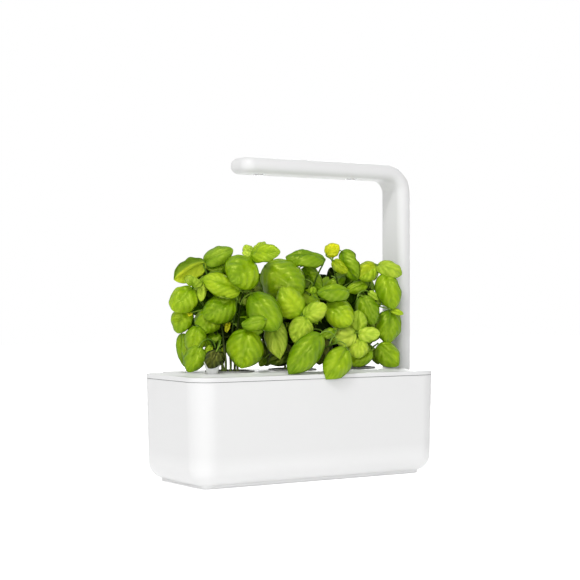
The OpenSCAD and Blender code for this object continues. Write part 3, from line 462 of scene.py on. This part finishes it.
# One leaf a row: [u, z, w] of its foot, heading, lean, roll, length, width, curl,
# then its tone, how far its edges bow down, how strongly it is puffed and, for
# some, what is special: how pointed the tip is, and the tone and the side of a
# half of the blade that is turned over
LEAVES = {
    "left": [
        [-26, 116, 5, 214, 10, 145, 38, 26, 30, "lime", 0.5, 0.6, {"half": ("mid", 1)}],
        [-27, 114, 2, 28, 0, -14, 34, 20, 20, "mid", 0.6, 0.2],
        [21, 123, 5, 5, 25, -30, 36, 21, 30, "light", 0.7, 1.5, {"point": 0.2}],
        [26, 126, -4, 45, -30, -40, 18, 14, 20, "fresh", 0.7, 1.3],
        [24, 121, 6, 158, 10, 30, 12, 8, 10, "pale", 0.6, 0.8],
        [23, 123, 0, 125, -10, 20, 13, 12, 20, "fresh", 0.6, 0.8],
        [26, 116, 8, 222, 30, 0, 38, 39, 35, "full", 0.9, 1.1, {"point": 0.3}],
        [12, 85, 14, 160, 5, 25, 42, 26, 25, "light", 0.8, 1.0],
        [-38, 89, 10, 228, 15, 20, 33, 29, 30, "light", 0.9, 0.7],
        [-28, 93, 12, 265, 10, 0, 19, 10, 15, "fresh", 0.7, 0.6],
        [-38, 89, 14, 80, 50, -10, 17, 19, 20, "fresh", 0.6, 1.0],
        [5, 77, 8, 216, 15, 10, 38, 30, 30, "mid", 1.0, 1.3],
        [2, 79, 16, 172, 10, 60, 15, 10, 10, "dark", 0.5, 0.5],
        [-49, 70, 2, 262, 10, 20, 30, 24, 25, "full", 0.9, 0.6],
        [-18, 67, 4, 250, 10, 5, 28, 28, 25, "full", 0.9, 1.1],
        [-38, 63, 8, 200, 0, 20, 8, 6, 5, "gold", 0.4, 0.3],
        [-33, 49, 12, 262, 8, 0, 29, 22, 25, "full", 0.9, 0.6],
        [-30, 29, 32, 250, 5, 5, 29, 22, 15, "mid", 0.9, 0.6],
        [-51, 41, -2, 278, 0, 40, 36, 20, 20, "mid", 0.8, 0.5],
        [-19, 29, 6, 245, 0, 20, 18, 10, 10, "light", 0.5, 0.5],
        [20, 45, 18, 257, 10, 0, 41, 38, 20, "full", 0.8, 0.8, {"point": 0.3}],
        [23, 83, 8, -52, 15, -10, 49, 33, 25, "mid", 1.0, 0.6],
        [36, 46, 16, 165, 0, 10, 24, 18, 15, "mid", 0.7, 0.6],
        [-9, 23, 4, 240, 0, 30, 20, 16, 15, "shade", 0.7, 0.5],
        [-1, 54, 0, 255, 0, 30, 13, 7, 5, "gold", 0.4, 0.3],
        [-11, 25, 50, 243, 0, 10, 20, 17, 20, "shade", 0.8, 0.5],
        [21, 97, -3, 280, 0, 0, 24, 22, 20, "deep", 0.8, 0.6],
        [-2, 113, -6, 188, 0, 10, 28, 22, 20, "mid", 0.8, 0.6],
        [38, 56, 26, 196, 0, 15, 25, 16, 30, "mid", 1.0, 0.5],
        [40, 79, 6, 285, 5, -30, 28, 15, 25, "dark", 0.9, 0.8],
    ],
    "mid": [
        [-30, 112, 8, -39, 12, -5, 52, 46, 30, "full", 0.9, 0.7],
        [10, 61, 34, 130, 0, 20, 36, 31, 25, "light", 1.0, 0.6],
        [-21, 57, 20, -80, 20, 12, 48, 24, 15, "pale", 0.5, 1.5, {"point": 0.6}],
        [11, 59, 36, 22, 5, -15, 27, 21, 20, "fresh", 0.9, 1.2],
        [15, 57, 38, 240, 5, 5, 29, 25, 20, "fresh", 0.9, 1.7],
        [35, 120, -2, 178, 5, 55, 43, 25, 25, "mid", 0.9, 1.0],
        [12, 111, -14, -62, 0, 0, 34, 22, 20, "mid", 0.7, 0.8],
        [22, 81, 22, 90, 10, 0, 9, 8, 10, "full", 0.5, 0.3],
        [60, 86, 22, 185, 10, 50, 35, 24, 25, "mid", 0.9, 0.6],
        [37, 74, 18, -42, 20, -5, 37, 29, 25, "light", 1.0, 0.8],
        [57, 25, 45, 237, 13, -10, 40, 28, 20, "full", 0.5, 0.6, {"point": 0.4}],
        [29, 41, 56, 231, 12, 8, 55, 29, 25, "mid", 0.9, 0.8, {"point": 0.4}],
        [45, 44, 26, 205, 0, 20, 17, 12, 10, "mid", 0.7, 0.5],
        [-3, 20, 24, 205, 0, 15, 25, 15, 10, "deep", 0.6, 0.5],
        [-29, 14, 8, 240, 0, 10, 11, 8, 5, "dark", 0.5, 0.4],
        [-8, 31, 6, 250, 8, 5, 28, 27, 20, "shade", 0.8, 0.6],
        [8, 24, 30, 262, 5, -8, 21, 22, 20, "deep", 0.8, 0.6],
        [33, 40, 10, 262, 0, -10, 34, 24, 20, "shade", 0.8, 0.6],
        [-25, 36, -2, 262, 0, 10, 32, 20, 20, "deep", 0.8, 0.6],
    ],
    "right": [
        [-29, 125, 14, 38, 0, -15, 18, 16, 15, "gold", 0.6, 0.9],
        [-21, 119, 16, -45, 10, -10, 21, 14, 15, "olive", 0.6, 0.8],
        [-12, 129, 12, -62, 10, 45, 38, 24, 40, "mid", 0.9, 0.9],
        [26, 115, 10, 218, 20, 15, 27, 23, 20, "olive", 0.8, 1.2, {"half": ("light", 1)}],
        [27, 114, 14, -25, 10, -30, 31, 20, 70, "fresh", 0.8, 1.0],
        [36, 105, 20, -79, 10, -15, 41, 27, 30, "full", 1.0, 0.9],
        [17, 85, 22, -35, 0, -30, 15, 9, 10, "fresh", 0.5, 0.5],
        [16, 94, 12, 202, 5, 30, 24, 16, 20, "full", 0.7, 0.6],
        [10, 80, 30, -64, 10, -10, 34, 24, 25, "mid", 0.9, 0.7],
        [42, 65, 18, -94, 5, -15, 38, 29, 20, "mid", 0.8, 0.8, {"point": 0.3}],
        [41, 65, 24, -18, 0, -30, 15, 8, 10, "light", 0.5, 0.5],
        [3, 42, 50, 85, -5, -10, 23, 20, 10, "fresh", 0.7, 0.7],
        [2, 41, 55, 201, 4, 10, 26, 22, 15, "pale", 0.7, 1.0, {"point": 0.4}],
        [4, 40, 52, -2, 5, -20, 24, 17, 15, "pale", 0.8, 1.1],
        [7, 36, 50, 260, 20, 0, 24, 21, 15, "fresh", 0.8, 1.0],
        [13, 27, 44, -85, 0, 20, 13, 6, 5, "pale", 0.4, 0.4],
        [20, 22, 44, 208, 5, 10, 30, 20, 15, "full", 0.8, 0.8],
        [28, 28, 24, -48, 5, -10, 32, 25, 20, "full", 0.8, 0.7],
        [25, 22, 16, -80, 0, 10, 17, 12, 10, "dark", 0.7, 0.6],
    ],
}

# One stem a row: [u, w] of its foot, then [u, z, w] of its head
STEMS = {
    "left": [[-4, 4, -27, 112, 3], [5, 2, 23, 118, 3], [-8, -3, -38, 87, 9],
             [1, 8, 10, 84, 12], [8, 8, 18, 46, 16], [-6, 9, -30, 44, 8]],
    "mid": [[-5, 2, -24, 109, 5], [4, -3, 33, 114, -4], [3, 7, 9, 60, 33],
            [8, 3, 45, 80, 18], [-8, 6, -18, 50, 12], [9, 8, 46, 31, 40]],
    "right": [[-6, 2, -22, 118, 13], [6, -2, 25, 113, 10], [8, 4, 34, 90, 16],
              [-2, 8, 5, 78, 27], [2, 9, 4, 38, 48], [9, 6, 27, 28, 21]],
}
# How far leaves behind the front ones reach out, and where inner leaves may stand
REACH = {"left": 38, "mid": 34, "right": 38}
NEAR = {"left": (-42, 36), "mid": (-36, 36), "right": (-36, 34)}


def plant_frame(points):
    """[u, z, w] of a plant turned into the object's x, y, z about the cup's axis."""
    u, z, w = points[..., 0], points[..., 1], points[..., 2]
    return np.stack([u * np.cos(TURN) - w * np.sin(TURN), -u * np.sin(TURN) - w * np.cos(TURN), z], -1)


def along_midrib(heading, lean):
    """Unit vectors [u, z, w] of a heading in the plant's face and a lean out of it."""
    h, l = np.radians([heading, lean])
    return np.array([np.cos(h) * np.cos(l), np.sin(h) * np.cos(l), np.sin(l)])


def leaf_axes(heading, lean, roll):
    """Unit vectors along the midrib, across the blade and out of its face."""
    along, r = along_midrib(heading, lean), np.radians(roll)
    facing = np.array([0, 0, 1]) - along[2] * along
    facing /= np.linalg.norm(facing)
    out = facing * np.cos(r) + np.cross(along, facing) * np.sin(r)
    return along, np.cross(out, along), out


def special(row, key, default):
    """What a row's dict says, or the default where it has none."""
    return row[12].get(key, default) if len(row) > 12 else default


def wave(turns):
    """A sine wave of a number of turns."""
    return np.sin(2 * np.pi * turns)


def leaf_surface(row, rng, stations=STATIONS, across=ACROSS):
    """A closed blade. Half width at the share s of the length: FULLER * width/2 *
    sin(pi s^0.88)^(0.47 + point s^4) * (1 - 0.18 s^6). The midrib is an arc of the
    angle curl + DOME over the chord of an arc of curl. Across it, v runs from -1 to 1
    and the blade bows down on a circle of the angle bow. Side veins leave the midrib
    at whole values of veins * (1.02 s - 0.36|v| - 0.12 v^2), with 0.35 more where
    v < 0 and slow waves; between them it is puffed up by 1 - |cos(pi phase)|^3. It is
    sunk by 1.3 mm at the midrib, full beside it, wavy at the edges and dented all
    over by slow waves, and it twists and sways towards the tip. The underside
    follows LEAF_T below, with a raised rib."""
    foot, (heading, lean, roll, length, width, curl) = np.array(row[:3], float), row[3:9]
    bow, puff = row[10] * BOWED, row[11] * PUFFED
    point = special(row, "point", 0.08)
    m, b, n = leaf_axes(heading, lean, roll)
    t = (np.arange(stations) + 0.5) / stations
    s = (0.45 * t + 0.55 * (1 - np.cos(np.pi * t)) / 2)[:, None]
    half = width / 2 * np.sin(np.pi * s**0.88) ** (0.47 + point * s**4) * (1 - 0.18 * s**6) * FULLER
    top = np.linspace(-1, 1, across)
    v = np.concatenate([top, top[-2:0:-1]])[None, :]
    under = np.concatenate([np.zeros(across), np.ones(across - 2)])[None, :]
    veins = float(np.clip(round(length / 7.5), 3, 6))
    waves, sway, twist = rng.uniform(0, 1, 8), rng.uniform(-0.06, 0.06), rng.uniform(-0.25, 0.25)
    phase = veins * (1.02 * s - 0.36 * np.abs(v) - 0.12 * v**2) + 0.35 * (v < 0)
    phase += 0.14 * wave(1.3 * s + waves[6]) + 0.12 * wave(0.7 * v + waves[7])
    calm = (1 - v**6) * np.sin(np.pi * s) ** 0.4
    side = v * half
    crown = (1 - np.abs(np.cos(np.pi * phase)) ** 3) * np.abs(v) ** 0.35
    puffed = puff * (0.034 * width + 0.15) * crown * calm
    cheeks = 0.1 * half * np.sin(np.pi * np.abs(v) ** 0.8) * np.sin(np.pi * s) ** 0.3
    sunk = 1.3 * np.exp(-((side / 2.0) ** 2)) * (1 - s) ** 0.4
    angle = bow * v
    reach = half * np.sin(angle) / np.sin(bow)
    drop = half * (1 - np.cos(angle)) / np.sin(bow)
    wavy = wave(2.3 * s + waves[0]) + 0.6 * wave(3.7 * s + waves[1] + 0.3 * (v > 0))
    wavy = 0.05 * width * np.abs(v) ** 3 * wavy
    dents = 0.03 * width * wave(1.2 * s + waves[2]) * wave(0.55 * v + waves[3])
    dents += 0.02 * width * wave(1.9 * s + waves[4]) * wave(0.9 * v + waves[5])
    rib = 0.7 * np.exp(-((side / 0.9) ** 2)) * (1 - s) ** 0.6
    thick = LEAF_T * np.sqrt(np.clip(1 - v**8, 0, 1)) + rib
    height = puffed + cheeks - sunk + (wavy + dents) * np.sin(np.pi * s) ** 0.5 - under * thick
    chord = 2 * length / np.radians(curl) * np.sin(np.radians(curl / 2))
    bend = np.radians(curl + DOME)
    radius = chord / 2 / np.sin(bend / 2)
    tilt = bend * (s - 0.5)
    run = radius * (np.sin(bend / 2) + np.sin(tilt)) + height * np.sin(tilt)
    rise = radius * (np.cos(tilt) - np.cos(bend / 2)) - drop + height * np.cos(tilt)
    turned = twist * (s - 0.3)
    level, steep = np.cos(turned), np.sin(turned)
    reach, rise = reach * level - rise * steep, reach * steep + rise * level
    reach = reach + sway * length * s * s
    points = foot + run[..., None] * m + reach[..., None] * b + rise[..., None] * n
    tip = foot + chord * m + sway * length * b
    points = np.concatenate([points.reshape(-1, 3), [foot], [tip]])
    crowned, edge = 1 - min(puff, 1) * (1 - crown), np.maximum(v**4, np.abs(2 * s - 1) ** 5)
    fields = zip(PLANT_VALUES, (v, crowned, edge, half, under), (0, 1, 1, 0, 0))
    values = {name: np.append(np.broadcast_to(field, (stations, v.size)), [pole, pole])
              for name, field, pole in fields}
    return points, grid_faces(stations, v.size), values


def stem_point(stem, t):
    """A stem rises upright from its foot and leans out above: the way sideways to
    its head grows with the square of the share t."""
    t = np.asarray(t, float)
    return np.stack([stem[0] + (stem[2] - stem[0]) * t**2, stem[3] * t,
                     stem[1] + (stem[4] - stem[1]) * t**2], -1)


def tube(path, radii, ring, square=0.0):
    """A closed tube along a path. Each ring stands across the path, and its radius
    swells by the share square at four corners."""
    ahead = np.gradient(path, axis=0)
    ahead /= np.linalg.norm(ahead, axis=1, keepdims=True)
    first = np.cross(ahead, [0.3, 0.1, 1.0])
    first /= np.linalg.norm(first, axis=1, keepdims=True)
    second = np.cross(ahead, first)
    a = 2 * np.pi * np.arange(ring) / ring
    r = (np.asarray(radii)[:, None] * (1 + square * np.cos(4 * a)))[..., None]
    points = path[:, None] + r * (np.cos(a)[:, None] * first[:, None] + np.sin(a)[:, None] * second[:, None])
    return np.concatenate([points.reshape(-1, 3), path[:1], path[-1:]]), grid_faces(len(path), ring)


def stalk_path(row, stems, steps=9):
    """The curved stalk of a leaf: from the nearest stem point, where one above the
    leaf's foot counts as further off, on a Bezier curve that arrives along the midrib."""
    foot = np.array(row[:3], float)
    marks = np.concatenate([stem_point(s, np.arange(0.3, 1.01, 0.1)) for s in stems])
    costs = np.linalg.norm(marks - foot, axis=1) + 1.5 * np.maximum(0, marks[:, 1] - foot[1])
    start = marks[np.argmin(costs)]
    m, b, n = leaf_axes(*row[3:6])
    arrive = m * np.cos(np.radians(row[8] / 2)) + n * np.sin(np.radians(row[8] / 2))
    pull = 0.4 * np.linalg.norm(foot - start)
    q = np.linspace(0, 1, steps)[:, None]
    return ((1 - q) ** 3 * start + 3 * (1 - q) ** 2 * q * (start + [0, pull, 0])
            + 3 * (1 - q) * q**2 * (foot - pull * arrive) + q**3 * (foot + 1.5 * arrive))


def filler_rows(reach, rng):
    """Leaves behind and inside the bush, set round the stems by the golden angle."""
    rows = []
    for i in range(FILLERS):
        a = np.radians(137.5 * i)
        side, depth = np.cos(a), -abs(np.sin(a))
        heading, roll = (-28, -50) if side > 0 else (208, 50)
        tone = rng.choice(["dark", "mid", "mid", "full", "light"])
        rows.append([side * 8, 25 + 83 * i / FILLERS, depth * 9 - 1.5, heading, depth * 55, roll,
                     reach - 12 + 4 * (i % 3), 22 + 2 * (i % 4), 30, tone, 0.8, 0.8])
    return rows


def inner_rows(side, rng):
    """Shaded leaves deep in the bush, spread evenly over its width, depth and height
    by multiples of irrational steps, then a few smaller ones at random: the first of
    many whose foot and tip both stay on the plant's own side of its neighbours."""
    step = np.arange(1, INNER + 1)

    def spread(low, high, stride):
        return low + (high - low) * (stride * step % 1)

    middle = np.stack([spread(-33, 22, 0.7549), np.minimum(spread(22, 110, 0.5698), INNER_TOP),
                       spread(-1, -16, 0.3247)])
    heading, lean, roll = spread(0, 360, 0.618), spread(-20, 10, 0.2361), spread(-40, 40, 0.4142)
    length, width = spread(24, 30, 0.8541), spread(19, 24, 0.7321)
    foot = middle - along_midrib(heading, lean) * length / 2
    rows = np.stack([*foot, heading, lean, roll, length, width, np.full(INNER, 25.0)], -1).tolist()
    rows = [[*row, rng.choice(["shade", "deep", "deep", "dark"]), 0.8, 0.9] for row in rows]
    many = 2000
    u, z, w = rng.uniform(-34, 32, many), rng.uniform(14, 100, many), rng.uniform(-18, -2, many)
    heading, lean, roll = rng.uniform(0, 360, many), rng.uniform(-35, 25, many), rng.uniform(-50, 50, many)
    length, width = rng.uniform(15, 22, many), rng.uniform(13, 18, many)
    end_u, end_z, end_w = [u, z, w] + length * along_midrib(heading, lean)
    low, high = NEAR[side]
    x, end_x = [p * np.cos(TURN) - q * np.sin(TURN) for p, q in ((u, w), (end_u, end_w))]
    fits = (np.minimum(x, end_x) > low) & (np.maximum(x, end_x) < high) & (end_z > 12) & (end_z < 104)
    fits &= (end_w > -26) & (end_w < 2)
    small = np.stack([u, z, w, heading, lean, roll, length, width, np.full(many, 25.0)], -1)[fits][:TUCKED]
    return rows + [[*row, "shade", 0.7, 0.7] for row in small.tolist()]


def stem_form(stem):
    """A stem's path, which sways a little, its radii, thicker at every fifth ring, and
    the tone of each point of its tube, from a pale foot through a nearly black length,
    which is painted shade inside the bush, to a green head."""
    rings = np.arange(STEM_RINGS)
    height = rings / (STEM_RINGS - 1)
    path = stem_point(stem, height) + STEM_SWAY * np.sin(0.9 * rings)[:, None] * [1, 0, 1]
    path[0, 1] -= STEM_ROOT
    radii = np.linspace(*STEM_R, STEM_RINGS) * (1 + 0.12 * (rings % 5 == 4))
    up = np.append(np.repeat(height, STEM_SIDES), [0, 1])[:, None]
    foot, head, green = np.array([STEM_FOOT, STEM_PAINTED_SHADE, STALK_GREEN])
    return path, radii, foot * (1 - up) ** 6 + head * (1 - (1 - up) ** 6) + green * up**8


def plant(side, seed):
    """One plant as a single mesh: its leaves, their stalks and the stems. Every point
    has the values that the leaf material reads, and every face its material slot: 0 for
    a leaf in the light, 1 for a leaf or stem in the shade, whose copy of the material has
    almost no shine, as painted shade."""
    rng = np.random.default_rng(seed)
    stems = STEMS[side]
    points, faces, shade_slots, values, tones = [], [], [], [], []

    def add(new_points, new_faces, new_values, tone, shaded=0):
        start = sum(len(p) for p in points)
        points.append(new_points)
        faces.extend(f + start for f in new_faces)
        shade_slots.extend(np.full(len(f), shaded) for f in new_faces)
        values.append([new_values.get(name, np.zeros(len(new_points))) for name in PLANT_VALUES])
        tones.append(np.broadcast_to(tone, (len(new_points), 3)))

    def add_tube(new_points, new_faces, tone, shaded=0):
        add(new_points, new_faces, {"leaf_v": np.full(len(new_points), STALK_V)}, tone, shaded)

    rows = LEAVES[side]
    behind = filler_rows(REACH[side], rng)
    inner = inner_rows(side, rng)
    for row in rows:
        surface = leaf_surface(row, rng)
        turned_tone, turned_side = special(row, "half", (row[9], 1))
        turned = surface[2]["leaf_v"][:, None] * turned_side > 0.15
        add(*surface, np.where(turned, TONES[turned_tone], TONES[row[9]]))
    for row in behind + inner:
        surface = leaf_surface(row, rng, STATIONS // 2, ACROSS // 2 + 2)
        add(*surface, TONES[row[9]], int(row[9] in ("shade", "deep")))
    for row in rows + behind + inner[:INNER]:
        path = stalk_path(row, stems)
        add_tube(*tube(path, np.linspace(*STALK_R, len(path)), STALK_SIDES), STALK_GREEN)
    for stem in stems:
        path, radii, tone = stem_form(stem)
        add_tube(*tube(path, radii, STEM_SIDES, 0.12), tone, 1)
    body = plant_frame(np.concatenate(points)) + [CUP_X[side], 0, SOIL_TOP]
    colours = np.insert(np.concatenate(tones), 3, 1, axis=1)
    piece = new_mesh("basil_" + side, body, faces)
    piece.data.polygons.foreach_set("material_index", np.concatenate(shade_slots).astype(np.int32))
    for name, field in zip(PLANT_VALUES, np.concatenate(values, axis=1)):
        layer = piece.data.attributes.new(name, "FLOAT", "POINT")
        layer.data.foreach_set("value", field.astype(np.float32))
    layer = piece.data.attributes.new("leaf_tone", "FLOAT_COLOR", "POINT")
    layer.data.foreach_set("color", colours.astype(np.float32).ravel())
    return piece


PATCH_TINT = (0.66, 0.76, 0.60, 1)
# Painted shade in the furrows, along the midrib and at the edge of the blade; painted light on the crowns
# between the veins
FURROW_SHADE_TINT = (0.80, 0.86, 0.66, 1)
EDGE_SHADE_TINT = (0.70, 0.79, 0.55, 1)
CROWN_LIGHT_COLOUR = (0.50, 0.62, 0.12, 1)
UNDER_COLOUR = (0.30, 0.46, 0.06, 1)
SHINE_TINT = (0.95, 1, 0.2, 1)
RANGE = ("From Min", "From Max", "To Min", "To Max")


def leaf_material(name, shine):
    """Basil leaf: the tone from its attribute in slow patches of light and dark, darker
    in the furrows and at the edge as painted shade, paler on the crowns as painted light
    and paler underneath, with fine quilting as bump. The shine fades where the blade is
    seen edge on."""
    material, tree, shader = new_material(name)

    def value(name, output="Fac"):
        node = tree.nodes.new("ShaderNodeAttribute")
        node.attribute_name = name
        return node.outputs[output]

    def ramp(source, low, high, from_value=0.0, to_value=1.0):
        node = tree.nodes.new("ShaderNodeMapRange")
        node.interpolation_type = "SMOOTHSTEP"
        for socket, number in zip(RANGE, (low, high, from_value, to_value)):
            node.inputs[socket].default_value = number
        tree.links.new(source, node.inputs["Value"])
        return node.outputs["Result"]

    def blend(how, share, a, b):
        node = tree.nodes.new("ShaderNodeMix")
        node.data_type = "RGBA"
        node.blend_type = how
        for socket, source in ((node.inputs[0], share), (node.inputs[6], a), (node.inputs[7], b)):
            if isinstance(source, bpy.types.NodeSocket):
                tree.links.new(source, socket)
            else:
                socket.default_value = source
        return node.outputs[2]

    def times(a, b):
        return math_node(tree, "MULTIPLY", a, b)

    tone, under = value("leaf_tone", "Color"), value("leaf_under")
    across = math_node(tree, "ABSOLUTE", value("leaf_v"))
    blade = math_node(tree, "LESS_THAN", across, (1 + STALK_V) / 2)
    midrib = ramp(times(across, value("leaf_width")), 1.3, 0.2)
    crown = math_node(tree, "MAXIMUM", value("leaf_crown"), under)
    furrow = times(math_node(tree, "MAXIMUM", ramp(crown, 0.7, 0.0), midrib), blade)
    mottle = noise(tree, 520.0, 3.0, 0.6)
    colour = blend("MULTIPLY", 1.0, tone, PATCH_TINT)
    colour = blend("MIX", ramp(noise(tree, 55.0), 0.35, 0.68), colour, tone)
    colour = blend("OVERLAY", times(blade, 0.16), colour, mottle)
    # Painted shade: darker in the furrows and along the midrib
    colour = blend("MULTIPLY", furrow, colour, FURROW_SHADE_TINT)
    # Painted shade: darker towards the edge and the ends of the blade
    colour = blend("MULTIPLY", times(value("leaf_edge"), blade), colour, EDGE_SHADE_TINT)
    # Painted light: paler on the crowns of the puffed blade
    colour = blend("MIX", times(times(ramp(crown, 0.55, 1.0), blade), 0.1), colour, CROWN_LIGHT_COLOUR)
    colour = blend("MIX", under, colour, blend("MIX", 0.2, colour, UNDER_COLOUR))
    tree.links.new(colour, shader.inputs["Base Color"])
    gloss = math_node(tree, "MULTIPLY_ADD", mottle, 0.12, 0.27)
    tree.links.new(math_node(tree, "MULTIPLY_ADD", under, 0.22, gloss), shader.inputs["Roughness"])
    bump(tree, shader, math_node(tree, "MULTIPLY_ADD", furrow, -0.8, noise(tree, 700.0)), 0.16, 0.8)
    edge_on = tree.nodes.new("ShaderNodeLayerWeight").outputs["Facing"]
    tree.links.new(ramp(edge_on, 0.1, 0.75, shine, 0.0), shader.inputs["Specular IOR Level"])
    shader.inputs["Specular Tint"].default_value = SHINE_TINT
    shader.inputs["Subsurface Weight"].default_value = 0.08
    shader.inputs["Subsurface Radius"].default_value = (0.7, 1.0, 0.2)
    shader.inputs["Subsurface Scale"].default_value = 0.0025
    return material


basil = leaf_material("basil_leaf", 0.7)
shaded_basil = leaf_material("basil_leaf_shaded", 0.03)
for seed, side in enumerate(LEAVES, 31):
    plant_piece(plant(side, seed), "plant", "leaf", side, basil, shaded_basil)

# ---- Dry bay under the lid ----
# The lamp post's socket and the timer board hang from the lid into a bay that the
# tank keeps dry: dark plastic, green laminate, plated screws and pins.


def metal(name, colour, gloss, scratch):
    """Plated or drawn metal: brushing in gloss and bump, as noise of so many waves a
    metre along each axis."""
    material, tree, shader = new_material(name)
    where = tree.nodes.new("ShaderNodeTexCoord")
    stretch = tree.nodes.new("ShaderNodeMapping")
    stretch.inputs["Scale"].default_value = scratch
    tree.links.new(where.outputs["Object"], stretch.inputs["Vector"])
    grain = tree.nodes.new("ShaderNodeTexNoise")
    grain.inputs["Scale"].default_value = 1.0
    grain.inputs["Detail"].default_value = 3.0
    tree.links.new(stretch.outputs["Vector"], grain.inputs["Vector"])
    rough = math_node(tree, "MULTIPLY_ADD", grain.outputs["Fac"], 0.15, gloss)
    tree.links.new(rough, shader.inputs["Roughness"])
    bump(tree, shader, grain.outputs["Fac"], 0.01)
    shader.inputs["Base Color"].default_value = colour
    shader.inputs["Metallic"].default_value = 1.0
    return material


def laminate(name, colour, track, scale):
    """Circuit board: solder mask over raised tracks, which are the edges of cells."""
    material, tree, shader = new_material(name)
    where = tree.nodes.new("ShaderNodeTexCoord")
    cells = tree.nodes.new("ShaderNodeTexVoronoi")
    cells.feature = "DISTANCE_TO_EDGE"
    cells.inputs["Scale"].default_value = scale
    cells.inputs["Randomness"].default_value = 0.55
    tree.links.new(where.outputs["Object"], cells.inputs["Vector"])
    line = tree.nodes.new("ShaderNodeMapRange")
    line.inputs["From Min"].default_value = 0.05
    line.inputs["From Max"].default_value = 0.08
    tree.links.new(cells.outputs["Distance"], line.inputs["Value"])
    pick = tree.nodes.new("ShaderNodeMix")
    pick.data_type = "RGBA"
    pick.inputs[6].default_value = track
    pick.inputs[7].default_value = colour
    tree.links.new(line.outputs["Result"], pick.inputs[0])
    tree.links.new(pick.outputs[2], shader.inputs["Base Color"])
    bump(tree, shader, line.outputs["Result"], 0.04, invert=True)
    shader.inputs["Roughness"].default_value = 0.35
    return material


dark_plastic = plastic("dark_plastic", srgb(52, 52, 54), 0.5, 0.02, grain=2200.0)
steel = metal("plated_steel", srgb(200, 200, 202), 0.22, (400, 400, 4000))
dress(dark_plastic, "base_socket", "base_contacts", "board_parts")
dress(laminate("board_green", srgb(20, 92, 52), srgb(44, 128, 76), 320.0), "control_board")
dress(steel, "socket_screws", "board_screws")

# ---- Power inlet ----
# A dark jack at the back, and the white bezel that closes the notch in the back wall
# round its mouth.

dress(dark_plastic, "dc_jack")
dress(plastic("bezel_white", srgb(231, 231, 231), 0.3, SHELL_GRAIN), "inlet_bezel")

# ---- Extension tube ----
# Lower half of the lamp post, a flat white tube with a plug at its foot, a socket
# at its head and two insulated wires between them.

shell_white = plastic("shell_white", srgb(226, 226, 226), SHELL_GLOSS, SHELL_GRAIN, specular=0.3)
brass = metal("contact_plating", srgb(222, 190, 120), 0.2, (600, 600, 5000))
wire_red = plastic("wire_red", srgb(180, 38, 32), 0.4, 0.02, grain=3000.0)
dress(shell_white, "extension_tube")
dress(satin_white, "extension_plug")
dress(brass, "extension_pins")
dress(dark_plastic, "extension_socket")
dress(wire_red, "extension_wires")

# ---- Lamp arm ----
# Upper post and arm as one white moulding with a flush cover underneath; its foot
# carries a plug like the extension tube's.

dress(shell_white, "lamp_shell")
# The cover under the arm is a darker white than the shell: painted shade on the underside.
dress(plastic("cover_white_painted_shade", srgb(219, 219, 219), 0.4, 0.006), "lamp_cover")
dress(steel, "cover_screws")
dress(satin_white, "lamp_plug")
dress(brass, "lamp_pins")
dress(wire_red, "lamp_wires")

# ---- Grow light ----
# An aluminium strip carries the white LED board; two clear domed lenses show
# through the cover.


def clear_lens():
    """Clear moulded plastic with faint flow marks in its gloss."""
    material, tree, shader = new_material("lens_clear")
    marks = math_node(tree, "MULTIPLY_ADD", noise(tree, 90.0), 0.1, 0.04)
    tree.links.new(marks, shader.inputs["Roughness"])
    shader.inputs["Base Color"].default_value = (0.96, 0.98, 1.0, 1)
    shader.inputs["Transmission Weight"].default_value = 1.0
    shader.inputs["IOR"].default_value = 1.49
    return material


dress(metal("spreader_aluminium", srgb(214, 216, 218), 0.3, (60, 3000, 3000)), "heat_spreader")
dress(laminate("led_board_white", srgb(236, 236, 233), srgb(222, 222, 218), 180.0), "led_board")
dress(speckled("led_phosphor", srgb(236, 214, 92), srgb(250, 236, 140), 2400.0, 0.02, 0.45), "led_chips")
dress(clear_lens(), "led_lenses")
